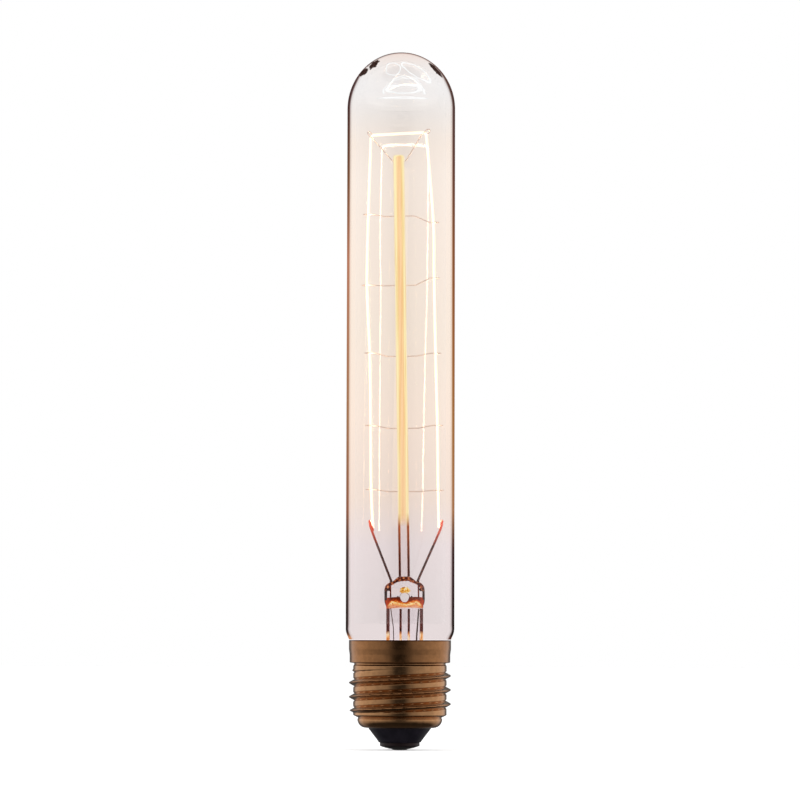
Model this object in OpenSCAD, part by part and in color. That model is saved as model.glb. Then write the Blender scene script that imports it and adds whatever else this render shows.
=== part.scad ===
// Tubular filament lamp with a medium screw cap, standing on its centre contact.
// +Z runs up the lamp's axis towards the dome, +X to the right and -Y towards the viewer.

/* [Glass envelope] */
// Overall height from the centre contact to the top of the dome
lamp_h = 180.8; // [150:0.1:240]
// How far the glass tube stands out past the cap's skirt
tube_overhang = 0.85; // [0.6:0.05:4.9]
// Height of the dome above the straight tube
dome_h = 14.8; // [14:0.1:20]
// Wall thickness of the blown tube
glass_wall = 0.9; // [0.7:0.05:1.2]
// Height at which the straight tube starts to draw in towards the cap
shoulder_z = 31.3; // [31:0.1:34]
// Radius of the rounded shoulder under the straight tube
shoulder_r = 4.6; // [3.5:0.1:5.5]
// Room between the neck's fused end and the threaded wall of the cap
seal_gap = 1.2; // [0.9:0.1:1.5]

/* [Stem and exhaust] */
// Height of the fused seal between neck and stem flare
seal_z = 18.9; // [17:0.1:20]
// Sideways offset of the stem from the lamp's axis, as it was sealed in
stem_x = 1.2; // [0:0.1:1.4]
// Outer diameter of the stem tube
stem_tube_d = 9.5; // [9.2:0.1:10]
// Wall thickness of the stem tube
stem_wall = 0.8; // [0.6:0.05:0.85]
// Height where the stem tube ends and the pressed glass starts
press_z = 36.4; // [34:0.1:40]
// Width of the pressed slab
press_w = 10.4; // [10.2:0.1:12]
// Thickness of the pressed slab
press_t = 3.4; // [3.2:0.1:4.5]
// Height of the slab up to its shoulders
press_h = 6.8; // [6:0.1:8]
// Rise of the slab's arched top above its shoulders
press_rise = 1.4; // [1:0.1:2]
// Diameter of the exhaust hole blown through the press
exhaust_hole_d = 2.4; // [2:0.1:2.6]
// Outer diameter of the exhaust tube
exhaust_d = 2.7; // [2.4:0.1:3]
// Height of the tipped-off end of the exhaust tube
exhaust_tip_z = 10.2; // [9.8:0.1:12]

/* [Glass rod] */
// Diameter of the glass rod that carries the support wires
rod_d = 2.9; // [2.4:0.1:3.4]
// Lean of the rod to the left, in degrees
rod_lean = 0.9; // [0:0.1:1.2]
// Distance from the top of the rod to the filament's top run
rod_gap = 5.8; // [4:0.1:8]

/* [Filament and wires] */
// Diameter of the coiled filament
filament_d = 0.75; // [0.5:0.05:0.9]
// Distance from the filament's top run to the top of the dome
headroom = 21; // [18:0.1:30]
// Distance from the left strand to the inside of the glass
left_gap = 4.8; // [4:0.1:6]
// Distance from the right strand to the inside of the glass
right_gap = 3.9; // [3.4:0.1:5]
// Height of the clamped ends of the filament
filament_foot_z = 57.2; // [52:0.1:62]
// Distance from the filament's top run to the first pair of supports
first_drop = 21.7; // [16:0.1:24]
// Distance from the last pair of supports to the clamped ends
last_rise = 9.3; // [7:0.1:12]
// Diameter of the support wires and hooks
support_d = 0.22; // [0.18:0.02:0.3]
// Play of the filament in each wire hook
hook_gap = 0.08; // [0.05:0.01:0.15]
// Diameter of the inner lead wires
lead_d = 0.62; // [0.5:0.02:0.7]
// Diameter of the seal wires in the press
seal_wire_d = 0.4; // [0.3:0.02:0.5]
// Room between the seal wires and the stem's bore
seal_wire_inset = 0.35; // [0.3:0.05:0.6]
// Diameter of the outer lead to the centre contact
centre_lead_d = 0.4; // [0.3:0.02:0.5]
// Diameter of the fine outer lead to the shell
side_lead_d = 0.26; // [0.2:0.02:0.28]

/* [Screw cap] */
// Height of the cap's upper rim
rim_z = 28.2; // [28:0.05:28.3]
// How far the skirt's upper band stands out past the thread's crests
skirt_proud = 0.02; // [0.01:0.01:0.1]
// Width of the step from the skirt's upper band to its lower band
skirt_step = 0.2; // [0.18:0.01:0.26]
// Height of the step between the two bands of the skirt
skirt_step_z = 25.2; // [25:0.1:25.6]
// Height of the skirt's lower edge
skirt_z = 22.4; // [22.3:0.05:22.6]
// Thickness of the brass sheet
shell_wall = 0.3; // [0.25:0.01:0.35]
// Thread diameter over the crests
thread_d = 26.26; // [26.1:0.02:26.4]
// Depth of the thread from its crests to its roots
thread_depth = 1.1; // [1:0.01:1.15]
// Thread pitch, seven turns to the inch
thread_pitch = 3.629; // [3.5:0.001:3.7]
// Height of a thread crest on the right-hand side
thread_crest_z = 11.8; // [11:0.1:12.5]
// Sharpness of the crests, where 1 is an even wave
thread_sharp = 5; // [1:1:6]
// Height of the lower end of the threaded wall
thread_z = 8.95; // [8.9:0.05:9.2]
// How far the rounded lip lies inside the thread's roots
lip_inset = 1.1; // [1:0.05:1.2]
// Radius of the lip's turn under the cap
lip_r = 2.2; // [2:0.05:2.3]
// Height of the underside of the lip
lip_z = 5.7; // [5.6:0.05:5.8]

/* [Contact end] */
// Width of the lip's turned-in edge beside the black glass
lip_flat = 0.7; // [0.6:0.05:0.9]
// Diameter of the black glass at the contact
insulator_low_d = 10.8; // [10.6:0.1:11]
// Height of the contact plate's upper face
contact_top_z = 1.95; // [1.8:0.05:2.1]
// Diameter of the contact plate
contact_d = 10.24; // [10:0.02:10.4]
// Height of the straight edge of the contact plate
contact_edge = 0.9; // [0.8:0.05:1]
// Thickness of solder under the middle of the contact plate
solder_h = 0.1; // [0.08:0.01:0.15]
// Diameter of the solder blob
solder_d = 4; // [3.6:0.1:4.6]
// Diameter of the hole for the lead in the contact plate
contact_hole_d = 2.6; // [2.2:0.1:3]
// Diameter of the lead's hole through the black glass
insulator_hole_d = 2.4; // [2:0.1:2.8]

/* [Hidden] */
$fn = 96;

// Small gap between pieces that are fused, soldered or threaded through in the real lamp
seat_gap = 0.05;
// Number of pairs of support wires
levels = 5;

root_r = thread_d / 2 - thread_depth;
skirt_r = thread_d / 2 + skirt_proud;
tube_r = skirt_r + tube_overhang;
tube_in_r = tube_r - glass_wall;
dome_z = lamp_h - dome_h;
rim_gap = 0.3;
ledge_z = rim_z + rim_gap;
shoulder_turn = 24;
shoulder_end = [
    tube_r - shoulder_r * (1 - cos(shoulder_turn)),
    shoulder_z - shoulder_r * sin(shoulder_turn)
];
ledge_r = shoulder_end[0] - (shoulder_end[1] - ledge_z) * tan(shoulder_turn);
ledge_round = 0.3;
skirt_in_r = skirt_r - shell_wall;
skirt_low_r = skirt_r - skirt_step;
cement_min = 0.45;
neck_top_r = skirt_in_r - cement_min;
seal_r = root_r - shell_wall - seal_gap;
neck_cone_z = skirt_z - 0.7;

// Points of an arc about (cx, cz), from angle a0 to a1
function arc(cx, cz, r, a0, a1, n) =
    [for (i = [0 : n]) let (a = a0 + (a1 - a0) * i / n) [cx + r * cos(a), cz + r * sin(a)]];

// The blown tube: a dome a little taller than a hemisphere, a long straight wall, a rounded
// shoulder and a conical neck
module glass_envelope() {
    function dome(r, h, a0, a1, n) =
        [for (p = arc(0, 0, 1, a0, a1, n)) [r * p[0], dome_z + h * p[1]]];
    outer = concat(
        dome(tube_r, dome_h, 90, 0, 32),
        arc(tube_r - shoulder_r, shoulder_z, shoulder_r, 0, -shoulder_turn, 8),
        [
            [ledge_r + 0.1, ledge_z + ledge_round],
            [ledge_r - ledge_round, ledge_z],
            [neck_top_r, ledge_z],
            [seal_r, neck_cone_z],
            [seal_r, seal_z]
        ]
    );
    inner = concat(
        [
            [seal_r - glass_wall, seal_z],
            [seal_r - glass_wall, neck_cone_z + glass_wall / 4],
            [neck_top_r - glass_wall, ledge_z]
        ],
        arc(tube_r - shoulder_r, shoulder_z, shoulder_r - glass_wall, -shoulder_turn, 0, 8),
        dome(tube_in_r, dome_h - glass_wall, 0, 90, 32)
    );
    color([0.93, 0.88, 0.86, 0.35])
        rotate_extrude() polygon(concat(outer, inner));
}

// Rod, press and supports share one leaning frame that starts at the foot of the press
module mount_frame() {
    translate([stem_x, 0, press_z]) rotate([0, -rod_lean, 0]) children();
}

stem_r = stem_tube_d / 2;
stem_in_r = stem_r - stem_wall;
seal_wire_x = stem_in_r - seal_wire_inset;
flare_r = seal_r - glass_wall - stem_x - 0.2;
flare_turn = flare_r - stem_r;
bead_h = 0.9;
bead_round = 0.3;
bead_z = seal_z - bead_h;
bead_in_r = flare_r - 1.4;

// The stem tube, its trumpet-shaped flare, and the bead fused to the edge of the neck
module stem_flare() {
    top = press_z - seat_gap;
    turn_z = seal_z - bead_h / 2 + flare_turn;
    color([0.9, 0.85, 0.83, 0.4]) {
        translate([stem_x, 0, 0]) rotate_extrude() polygon(concat(
            [[stem_in_r, top], [stem_r, top]],
            arc(flare_r, turn_z, flare_turn, 180, 270, 10),
            arc(flare_r, turn_z, flare_turn + stem_wall, 270, 180, 10)
        ));
        rotate_extrude() polygon([
            [bead_in_r, bead_z], [seal_r - bead_round, bead_z], [seal_r, bead_z + bead_round],
            [seal_r, seal_z], [bead_in_r, seal_z]
        ]);
    }
}

press_top = press_h + press_rise;
press_corner = 1.3;
press_flat = rod_d / 2 + 0.1;
exhaust_hole_h = 2.8;
exhaust_bore_d = exhaust_d - 1.1;

// Height of the press's sloping top above its foot, at a distance x from its middle
function press_top_at(x) =
    press_top - press_rise * (x - press_flat) / (press_w / 2 - press_corner - press_flat);

seal_wire_top = press_top_at(seal_wire_x) + seat_gap;

// Half of the press's outline, from its foot up the side and over the shoulder
function press_half(s) = concat(
    [[s * press_w / 2, exhaust_hole_h - 1]],
    [for (p = arc(press_w / 2 - press_corner, press_h - press_corner, press_corner, 0, 90, 8))
        [s * p[0], p[1]]],
    [[s * press_flat, press_top]]
);

function reversed(list) = [for (i = [len(list) - 1 : -1 : 0]) list[i]];

// The pinched glass that seals the wires, with the exhaust hole blown through it
module stem_press() {
    color([0.95, 0.8, 0.66, 0.6]) mount_frame() difference() {
        union() {
            rotate([90, 0, 0]) linear_extrude(height = press_t, center = true)
                polygon(concat(press_half(1), reversed(press_half(-1))));
            hull() {
                cylinder(h = 0.6, d = stem_tube_d, $fn = 32);
                translate([-press_w / 2, -press_t / 2, exhaust_hole_h - 1])
                    cube([press_w, press_t, 1]);
            }
        }
        translate([0, press_t, exhaust_hole_h]) rotate([90, 0, 0])
            cylinder(h = 2 * press_t, d = exhaust_hole_d);
        translate([0, 0, -1]) cylinder(h = exhaust_hole_h + 1, d = exhaust_bore_d);
        for (s = [-1, 1]) translate([s * seal_wire_x, 0, -1])
            cylinder(h = press_top + 2, d = seal_wire_d + 2 * seat_gap);
    }
}

// Length of the drawn-off tip's taper, and thickness of the glass that closes it
tip_taper = 2.6;
tip_glass = 1.8;

// The thin tube through which the air was drawn, drawn off to a closed tip
module exhaust_tube() {
    r = exhaust_d / 2;
    bore_r = exhaust_bore_d / 2;
    top = press_z - stem_r * sin(rod_lean) - seat_gap;
    tip = exhaust_tip_z;
    color([0.9, 0.85, 0.83, 0.4]) translate([stem_x, 0, 0]) rotate_extrude() polygon([
        [0, tip], [0.35 * r, tip + 0.2], [0.8 * r, tip + 1.4], [r, tip + tip_taper], [r, top],
        [bore_r, top], [bore_r, tip + tip_taper + 0.6], [0, tip + tip_glass]
    ]);
}

filament_top_z = lamp_h - headroom;
rod_r = rod_d / 2;
rod_top_z = filament_top_z - rod_gap;
rod_round = 0.6;

// Middle of the leaning rod at height z
function rod_x(z) = stem_x - (z - press_z) * tan(rod_lean);

// The solid glass rod, whose cut top is melted round at its edge
module arbor_rod() {
    len = (rod_top_z - press_z) / cos(rod_lean);
    foot = press_top + seat_gap / 2;
    color([0.98, 0.84, 0.62, 0.7]) mount_frame() rotate_extrude() polygon(concat(
        [[0, foot], [rod_r, foot]],
        arc(rod_r - rod_round, len - rod_round, rod_round, 0, 90, 8),
        [[0, len]]
    ));
}

function unit(v) = v / norm(v);

// Direction of a path at point i, averaged over its two neighbours
function path_dir(p, i) = unit(p[min(i + 1, len(p) - 1)] - p[max(i - 1, 0)]);

// Points of a ring of a wire's skin round path point i; ref is any direction off the path
function wire_ring(p, i, r, sides, ref) =
    let (t = path_dir(p, i), n = unit(cross(ref, t)), b = cross(t, n))
    [for (k = [0 : sides - 1]) let (a = 360 * k / sides) p[i] + r * (cos(a) * n + sin(a) * b)];

// A round wire swept along a path of points
module wire(p, d, ref, sides = 8) {
    n = len(p);
    points = [for (i = [0 : n - 1]) each wire_ring(p, i, d / 2, sides, ref)];
    walls = [for (i = [0 : n - 2]) for (k = [0 : sides - 1]) let (m = (k + 1) % sides)
        each [
            [i * sides + k, (i + 1) * sides + k, (i + 1) * sides + m],
            [i * sides + k, (i + 1) * sides + m, i * sides + m]
        ]];
    foot = [[for (k = [0 : sides - 1]) k]];
    head = [[for (k = [sides - 1 : -1 : 0]) (n - 1) * sides + k]];
    polyhedron(points, concat(foot, walls, head));
}

up = [0, 0, 1];
back = [0, 1, 0];
wire_grey = [0.55, 0.47, 0.44];

// Place of each strand at the top corner, the five supports and the foot: the strands
// bow a little from their nominal lines, as hand-mounted filaments do
left_bow = [0.3, -0.3, -0.6, 0.2, 0.5, 0.7, 1.2];
right_bow = [-2.6, -0.8, -0.6, -0.2, 0.3, 0.5, 0.7];
left_depth = [4.1, 3.6, 3, 2.4, 1.8, 1.4, 1.2];
right_depth = [0.5, -0.2, -0.9, -1, -1.1, -1.2, -1.3];
// Uneven heights of the supports, and how far each wire rises from the rod to its hook
level_stray = [0, -0.2, -0.7, -1.5, 0];
left_rise = [0.8, 0.3, 1, 0.8, 0.6];
right_rise = [-1.7, 1.8, 0.7, 0.7, 0.3];
corner_rise = 0.2;

level_step = (filament_top_z - first_drop - filament_foot_z - last_rise) / (levels - 1);

// Height at which the support wires of level i leave the rod
function level_z(i) = filament_top_z - first_drop - i * level_step + level_stray[i];

// Height of a strand's point i: 0 is the top corner, 1 to 5 the supports, 6 the foot
function strand_z(i, rise, corner) =
    i == 0 ? filament_top_z + corner :
    i == levels + 1 ? filament_foot_z :
    level_z(i - 1) + rise[i - 1];

function left_strand(i) =
    [-(tube_in_r - left_gap) + left_bow[i], left_depth[i], strand_z(i, left_rise, 0)];

function right_strand(i) =
    [tube_in_r - right_gap + right_bow[i], right_depth[i], strand_z(i, right_rise, corner_rise)];

strand_corner_r = 1;

// The filament's way round a top corner, cut in two steps; side is -1 left and 1 right
function corner_points(c, side) = [
    c + [0, 0, -strand_corner_r],
    c + strand_corner_r * [-side * 0.3, 0, -0.3],
    c + [-side * strand_corner_r, 0, 0]
];

// The glowing hairpin: up the left side, across the top and down the right side
module filament() {
    path = concat(
        [for (i = [levels + 1 : -1 : 1]) left_strand(i)],
        corner_points(left_strand(0), -1),
        reversed(corner_points(right_strand(0), 1)),
        [for (i = [1 : levels + 1]) right_strand(i)]
    );
    color([1, 0.93, 0.75]) wire(path, filament_d, back, 10);
}

hook_reach = 0.8;
hook_lead = 1.1;
hook_tail = 0.4;
hook_r = filament_d / 2 + support_d / 2 + hook_gap;

// A hairpin hook of inner half width r round the point c; out points away from the rod
// and side across the hook
function hook(c, out, side, r = hook_r) = concat(
    [c - hook_lead * out - r * side],
    [for (a = [-90 : 30 : 90]) c + hook_reach * out + r * (cos(a) * out + sin(a) * side)],
    [c - hook_tail * out + r * side]
);

// Share of a support wire's length that is level, from the rod to its bend
support_bend = 0.45;

// One support wire, from the rod's side to the hook round the strand at point c
module support(c, z) {
    root = [rod_x(z), 0, z];
    level = [c[0] - root[0], c[1] - root[1], 0];
    out = unit(level);
    path = concat(
        [root + (rod_r + seat_gap) * out, root + support_bend * level],
        hook(c, out, cross(up, out))
    );
    color(wire_grey) wire(path, support_d, up, 6);
}

// Skew of a top hook, whose legs pass before and behind the filament side by side
top_hook_skew = 0.75;
top_hook_root = 1.6;

// A top hook, from the side of the rod's top up through the filament's corner
module top_hook(c, side) {
    z = rod_top_z - top_hook_root;
    root = [rod_x(z), 0, z];
    level = unit([c[0] - root[0], c[1] - root[1], 0]);
    out = unit([side, 0, 1]);
    across = unit(back + top_hook_skew * cross(back, out));
    start = root + (rod_r + seat_gap) * level;
    elbow = start + [0.5 * side, 0, 0.35];
    corner = c + strand_corner_r * [-side * 0.3, 0, -0.3];
    path = concat(
        [start, elbow],
        hook(corner, out, across, hook_r * norm([1, top_hook_skew]))
    );
    color(wire_grey) wire(path, support_d, [0, 1, 0.01], 6);
}

lead_r = lead_d / 2;
lead_foot_z = press_z + seal_wire_top + seat_gap;
lead_tip_rise = 1.3;
lead_fold_h = 0.45;
lead_start_h = 0.5;

// Foot of an inner lead on its seal wire; side is -1 left and 1 right
function lead_foot(side) =
    [stem_x + side * seal_wire_x - seal_wire_top * sin(rod_lean), 0, lead_foot_z];

// An inner lead: a stiff wire up behind the filament's end, folded over beside it and
// down before it as a clamp; tip_x is how far the fold's tip ends towards the rod
module inner_lead(end, side, tip_x) {
    foot = lead_foot(side);
    behind = [0, filament_d / 2 + lead_r + seat_gap, 0];
    beside = [side * (filament_d / 2 + lead_r + 2 * seat_gap), 0, 0];
    top = end + beside + [0, 0, lead_tip_rise];
    color([0.42, 0.32, 0.3]) wire([
        foot,
        foot + [0, 0, lead_start_h],
        end + behind + [side * 0.2, 0, -1],
        top + behind,
        top + [0, 0, lead_fold_h],
        top - behind,
        end - behind + [-side * tip_x, 0, -0.9]
    ], lead_d, [1, 0, 0.01], 8);
}

// A seal wire runs straight through the press
module seal_wire(side) {
    color([0.75, 0.35, 0.25]) mount_frame() translate([side * seal_wire_x, 0, 0])
        cylinder(h = seal_wire_top, d = seal_wire_d, $fn = 24);
}

lead_start_z = press_z - seal_wire_x * sin(rod_lean) - seat_gap;
lead_route_r = seal_r + seal_gap / 2;
rim_route_r = skirt_in_r - cement_min / 2;
// Where the fine lead leaves its seal wire, the flare and the bead, from top to bottom
side_lead_bend = 5;
side_lead_in_flare = 3;
side_lead_under = [1.6, 2.2, 1.9, 0.6];

// The fine lead to the shell: down inside the stem, out under the seal, up between neck
// and shell at the back of the lamp, and over the rim to its solder
module outer_lead_left() {
    x = stem_x - seal_wire_x;
    color([0.72, 0.45, 0.3]) wire([
        [x, 0, lead_start_z],
        [x + 0.7, 0, lead_start_z - side_lead_bend],
        [x + 0.9, 1.5, seal_z + side_lead_in_flare],
        [x + 1, 4, bead_z - side_lead_under[0]],
        [-0.6, bead_in_r, bead_z - side_lead_under[1]],
        [0, lead_route_r - 0.9, bead_z - side_lead_under[2]],
        [0, lead_route_r, bead_z - side_lead_under[3]],
        [0, lead_route_r, neck_cone_z],
        [0, rim_route_r, rim_z - 0.8],
        [0, rim_route_r + 0.02, rim_z],
        [0, rim_route_r + 0.2, rim_z + rim_gap / 2],
        [0, skirt_r + seat_gap, rim_z + rim_gap / 2]
    ], side_lead_d, [1, 0, 0], 6);
}

solder_top_z = contact_top_z - 0.15;

centre_lead_bend = 7;
// How far the centre lead starts and ends its turn above and under the exhaust tip
tip_pass_over = 3;
tip_pass_under = 0.7;
centre_lead_straight = 2.2;

// The lead to the centre contact: past the exhaust tip and down through the black glass
module outer_lead_right() {
    x = stem_x + seal_wire_x;
    color([0.6, 0.5, 0.45]) wire([
        [x, 0, lead_start_z - 2 * seat_gap],
        [x - 0.5, 0, lead_start_z - centre_lead_bend],
        [x - 0.7, 0, seal_z],
        [x - 1.2, 0, exhaust_tip_z + tip_pass_over],
        [stem_x + tip_pass_under, 0, exhaust_tip_z - tip_pass_under],
        [0, 0, exhaust_tip_z - centre_lead_straight],
        [0, 0, solder_top_z + seat_gap]
    ], centre_lead_d, back, 8);
}

groove_r = root_r - 0.3;
thread_top_z = skirt_z - 1.1;
// The rolled wall laps into the plain walls above and below it
lap = 0.45;
// The plain walls stand this much proud of the rolled wall's ends
lap_cover = 0.03;
thread_cols = 48;
thread_rows = 42;
runout = 0.9;

// Rises smoothly from 0 to 1 as t goes from 0 to 1
function ease(t) = let (u = max(0, min(1, t))) u * u * (3 - 2 * u);

// Height of the thread above its root: narrow round crests on wide roots, run out at both ends
function thread_rise(angle, z) =
    let (phase = 360 * (z - thread_crest_z) / thread_pitch - angle)
    thread_depth * pow((1 + cos(phase)) / 2, thread_sharp)
        * ease((z - thread_z - lap) / runout) * ease((thread_top_z - lap - z) / runout);

// The rolled thread: both faces of the sheet follow the same helical wave
module rolled_thread() {
    high = thread_top_z;
    low = thread_z + 0.1;
    n = thread_cols;
    rows = thread_rows;
    function skin(offset) = [for (j = [0 : rows]) for (i = [0 : n - 1])
        let (z = low + (high - low) * j / rows, a = 360 * i / n,
            r = root_r + offset + thread_rise(a, z))
        [r * cos(a), r * sin(a), z]];
    function quad(a, b, c, d) = [[a, b, c], [a, c, d]];
    second = n * (rows + 1);
    outside = [for (j = [0 : rows - 1]) for (i = [0 : n - 1]) let (m = (i + 1) % n)
        each quad(j * n + i, (j + 1) * n + i, (j + 1) * n + m, j * n + m)];
    inside = [for (j = [0 : rows - 1]) for (i = [0 : n - 1]) let (m = (i + 1) % n)
        each quad(second + j * n + i, second + j * n + m,
            second + (j + 1) * n + m, second + (j + 1) * n + i)];
    ends = [for (i = [0 : n - 1]) let (m = (i + 1) % n, t = rows * n)
        each concat(
            quad(i, m, second + m, second + i),
            quad(t + i, second + t + i, second + t + m, t + m)
        )];
    polyhedron(concat(skin(0), skin(-shell_wall)), concat(outside, inside, ends));
}

lip_edge_r = root_r - lip_inset;
lip_c = [lip_edge_r - lip_r, lip_z + lip_r];
insulator_r = lip_c[0] - lip_flat;
lip_hole_r = insulator_r + 0.2;

// The brass shell: skirt with its step and rolled groove, helical thread, and rounded lip
module screw_shell() {
    low_r = skirt_low_r;
    w = shell_wall;
    color([0.52, 0.37, 0.25]) {
        rotate_extrude() polygon([
            [skirt_in_r, rim_z], [skirt_r, rim_z], [skirt_r, skirt_step_z],
            [low_r, skirt_step_z - 0.2], [low_r, skirt_z + 0.25], [low_r - 0.25, skirt_z],
            [groove_r + 0.15, skirt_z - 0.1], [groove_r, skirt_z - 0.35],
            [groove_r + 0.1, skirt_z - 0.6], [root_r + lap_cover, skirt_z - 0.85],
            [root_r + lap_cover, thread_top_z - lap], [root_r - w - lap_cover, thread_top_z - lap],
            [root_r - w - lap_cover, skirt_z - 0.8], [groove_r - w, skirt_z - 0.55],
            [groove_r - w, skirt_z], [groove_r - w + 0.2, skirt_z + w - 0.1],
            [low_r - w - 0.2, skirt_z + w], [low_r - w, skirt_z + w + 0.2],
            [low_r - w, skirt_step_z - 0.1], [skirt_in_r, skirt_step_z + 0.1]
        ]);
        rolled_thread();
        rotate_extrude() polygon(concat(
            [
                [root_r - w - lap_cover, thread_z + lap], [root_r + lap_cover, thread_z + lap],
                [root_r + lap_cover, thread_z], [lip_edge_r - 0.2, lip_c[1] + 0.4]
            ],
            arc(lip_c[0], lip_c[1], lip_r, 0, -90, 10),
            [[lip_hole_r, lip_z], [lip_hole_r, lip_z + w]],
            arc(lip_c[0], lip_c[1], lip_r - w, -90, 0, 10),
            [[lip_edge_r - 0.2 - w, lip_c[1] + 0.45], [root_r - w - lap_cover, thread_z + 0.15]]
        ));
    }
}

channel_w = 0.8;

// The baked cement between neck and skirt, with a channel for the side lead
module capping_cement() {
    low_r = skirt_low_r - shell_wall;
    low_z = skirt_z + shell_wall + 0.35;
    slope = (neck_top_r - seal_r) / (ledge_z - neck_cone_z);
    function neck_r(z) = seal_r + (z - neck_cone_z) * slope + seat_gap;
    top = rim_z - 0.15;
    color([0.78, 0.72, 0.62]) difference() {
        rotate_extrude() polygon([
            [neck_r(low_z), low_z], [low_r - seat_gap, low_z],
            [low_r - seat_gap, skirt_step_z - 0.15],
            [skirt_in_r - seat_gap, skirt_step_z + 0.15],
            [skirt_in_r - seat_gap, top], [neck_r(top), top]
        ]);
        translate([-channel_w / 2, 0, low_z - 1]) cube([channel_w, skirt_r, rim_z]);
    }
}

insulator_top_z = lip_c[1];
insulator_rim_h = 0.5;
insulator_edge_z = contact_top_z + insulator_rim_h;

// The black glass that fills the cap's end and carries the contact
module glass_insulator() {
    r = insulator_r;
    hole = insulator_hole_d / 2;
    color([0.08, 0.07, 0.09]) rotate_extrude() polygon(concat(
        [[hole, insulator_top_z]],
        arc(lip_c[0], lip_c[1], lip_r - shell_wall - seat_gap, 0, -90, 10),
        [
            [r, lip_z + shell_wall + seat_gap], [r, lip_z - 0.2],
            [insulator_low_d / 2 + 0.3, insulator_edge_z],
            [insulator_low_d / 2, contact_top_z],
            [hole, contact_top_z]
        ]
    ));
}

contact_r = contact_d / 2;
contact_edge_z = contact_top_z - contact_edge;
bowl_h = contact_edge_z - solder_h;
bowl_r = (contact_r * contact_r + bowl_h * bowl_h) / (2 * bowl_h);

// Height of the contact plate's domed underside at a radius r
function contact_z(r) = solder_h + bowl_r - sqrt(bowl_r * bowl_r - r * r);

// The domed brass contact, with a hole in its middle for the lead
module contact_plate() {
    hole = contact_hole_d / 2;
    color([0.3, 0.24, 0.22]) rotate_extrude() polygon(concat(
        [[hole, contact_top_z - seat_gap / 5], [contact_r, contact_top_z - seat_gap / 5]],
        [for (i = [0 : 8]) let (x = contact_r + (hole - contact_r) * i / 8) [x, contact_z(x)]]
    ));
}

solder_flat_r = 0.9;

// The drop of solder that closes the contact's hole, worn flat where it touches the holder
module centre_solder() {
    hole = contact_hole_d / 2 - seat_gap;
    r = solder_d / 2;
    flat = solder_flat_r;
    rim = contact_z(r) - seat_gap;
    color([0.45, 0.42, 0.42]) rotate_extrude() polygon(concat(
        [[0, 0], [flat, 0]],
        [for (t = [1 : 5]) let (u = t / 5) [flat + (r - flat) * sin(90 * u), rim * (1 - cos(90 * u))]],
        [[hole, contact_z(hole) - seat_gap], [hole, solder_top_z], [0, solder_top_z]]
    ));
}

side_solder_h = 1;
side_solder_w = 4;
side_solder_proud = 0.5;

// The drop of solder that joins the fine lead to the outside of the rim, at the back
module side_solder() {
    top = ledge_z - rim_gap / 2 - side_lead_d / 2 - seat_gap / 2;
    color([0.6, 0.58, 0.57]) intersection() {
        translate([0, skirt_r, top - 0.6]) sphere(r = side_solder_h, $fn = 32);
        difference() {
            translate([-side_solder_w / 2, 0, top - side_solder_h])
                cube([side_solder_w, skirt_r + side_solder_proud, side_solder_h]);
            translate([0, 0, top - 3]) cylinder(h = 4, r = skirt_r + seat_gap / 5);
        }
    }
}

glass_envelope();
stem_flare();
stem_press();
exhaust_tube();
arbor_rod();
inner_lead(left_strand(levels + 1), -1, 0.15);  // inner_lead_left
inner_lead(right_strand(levels + 1), 1, -0.3);  // inner_lead_right
seal_wire(-1);  // seal_wire_left
seal_wire(1);  // seal_wire_right
outer_lead_left();
outer_lead_right();
top_hook(left_strand(0), -1);  // top_hook_left
top_hook(right_strand(0), 1);  // top_hook_right
support(left_strand(1), level_z(0));  // support_1_left
support(right_strand(1), level_z(0));  // support_1_right
support(left_strand(2), level_z(1));  // support_2_left
support(right_strand(2), level_z(1));  // support_2_right
support(left_strand(3), level_z(2));  // support_3_left
support(right_strand(3), level_z(2));  // support_3_right
support(left_strand(4), level_z(3));  // support_4_left
support(right_strand(4), level_z(3));  // support_4_right
support(left_strand(5), level_z(4));  // support_5_left
support(right_strand(5), level_z(4));  // support_5_right
filament();
screw_shell();
capping_cement();
glass_insulator();
contact_plate();
centre_solder();
side_solder();
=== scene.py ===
"""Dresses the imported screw-cap filament lamp: fine glass, wire and brass pieces round the frame.

Laid out as an add-on and run as a script. Lengths are in millimetres in the shape
functions and become metres only when a mesh is written.
"""
import math
from functools import reduce
from operator import or_

import bpy
import numpy as np
from bpy.props import FloatProperty, FloatVectorProperty, PointerProperty
from mathutils import Euler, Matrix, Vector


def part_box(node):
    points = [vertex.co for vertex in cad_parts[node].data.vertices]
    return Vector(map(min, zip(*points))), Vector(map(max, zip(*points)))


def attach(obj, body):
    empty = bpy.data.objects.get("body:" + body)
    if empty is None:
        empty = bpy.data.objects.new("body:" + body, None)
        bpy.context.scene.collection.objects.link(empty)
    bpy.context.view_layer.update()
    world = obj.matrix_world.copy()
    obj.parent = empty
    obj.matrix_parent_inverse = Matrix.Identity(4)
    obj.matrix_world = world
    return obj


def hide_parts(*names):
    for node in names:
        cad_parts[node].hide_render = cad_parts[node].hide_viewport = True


bl_info = {
    "name": "Filament lamp dresser",
    "version": (1, 0, 0),
    "blender": (4, 5, 0),
    "location": "3D View > Sidebar > Lamp",
    "description": "Builds the glass, filament, wires and cap of a tubular lamp round its frame",
    "category": "Object",
}

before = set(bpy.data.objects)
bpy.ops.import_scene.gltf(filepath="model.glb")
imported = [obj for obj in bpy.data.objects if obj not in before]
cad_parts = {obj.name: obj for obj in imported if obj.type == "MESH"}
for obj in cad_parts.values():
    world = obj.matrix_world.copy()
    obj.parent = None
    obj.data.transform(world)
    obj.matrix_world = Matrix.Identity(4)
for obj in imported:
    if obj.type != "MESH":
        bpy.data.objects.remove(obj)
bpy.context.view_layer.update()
MM = 0.001
BODY = "root"


def node_box(node):
    """Lowest and highest corners of a node of the frame, in millimetres."""
    return [(np.array(corner) / MM).tolist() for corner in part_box(node)]


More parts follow.
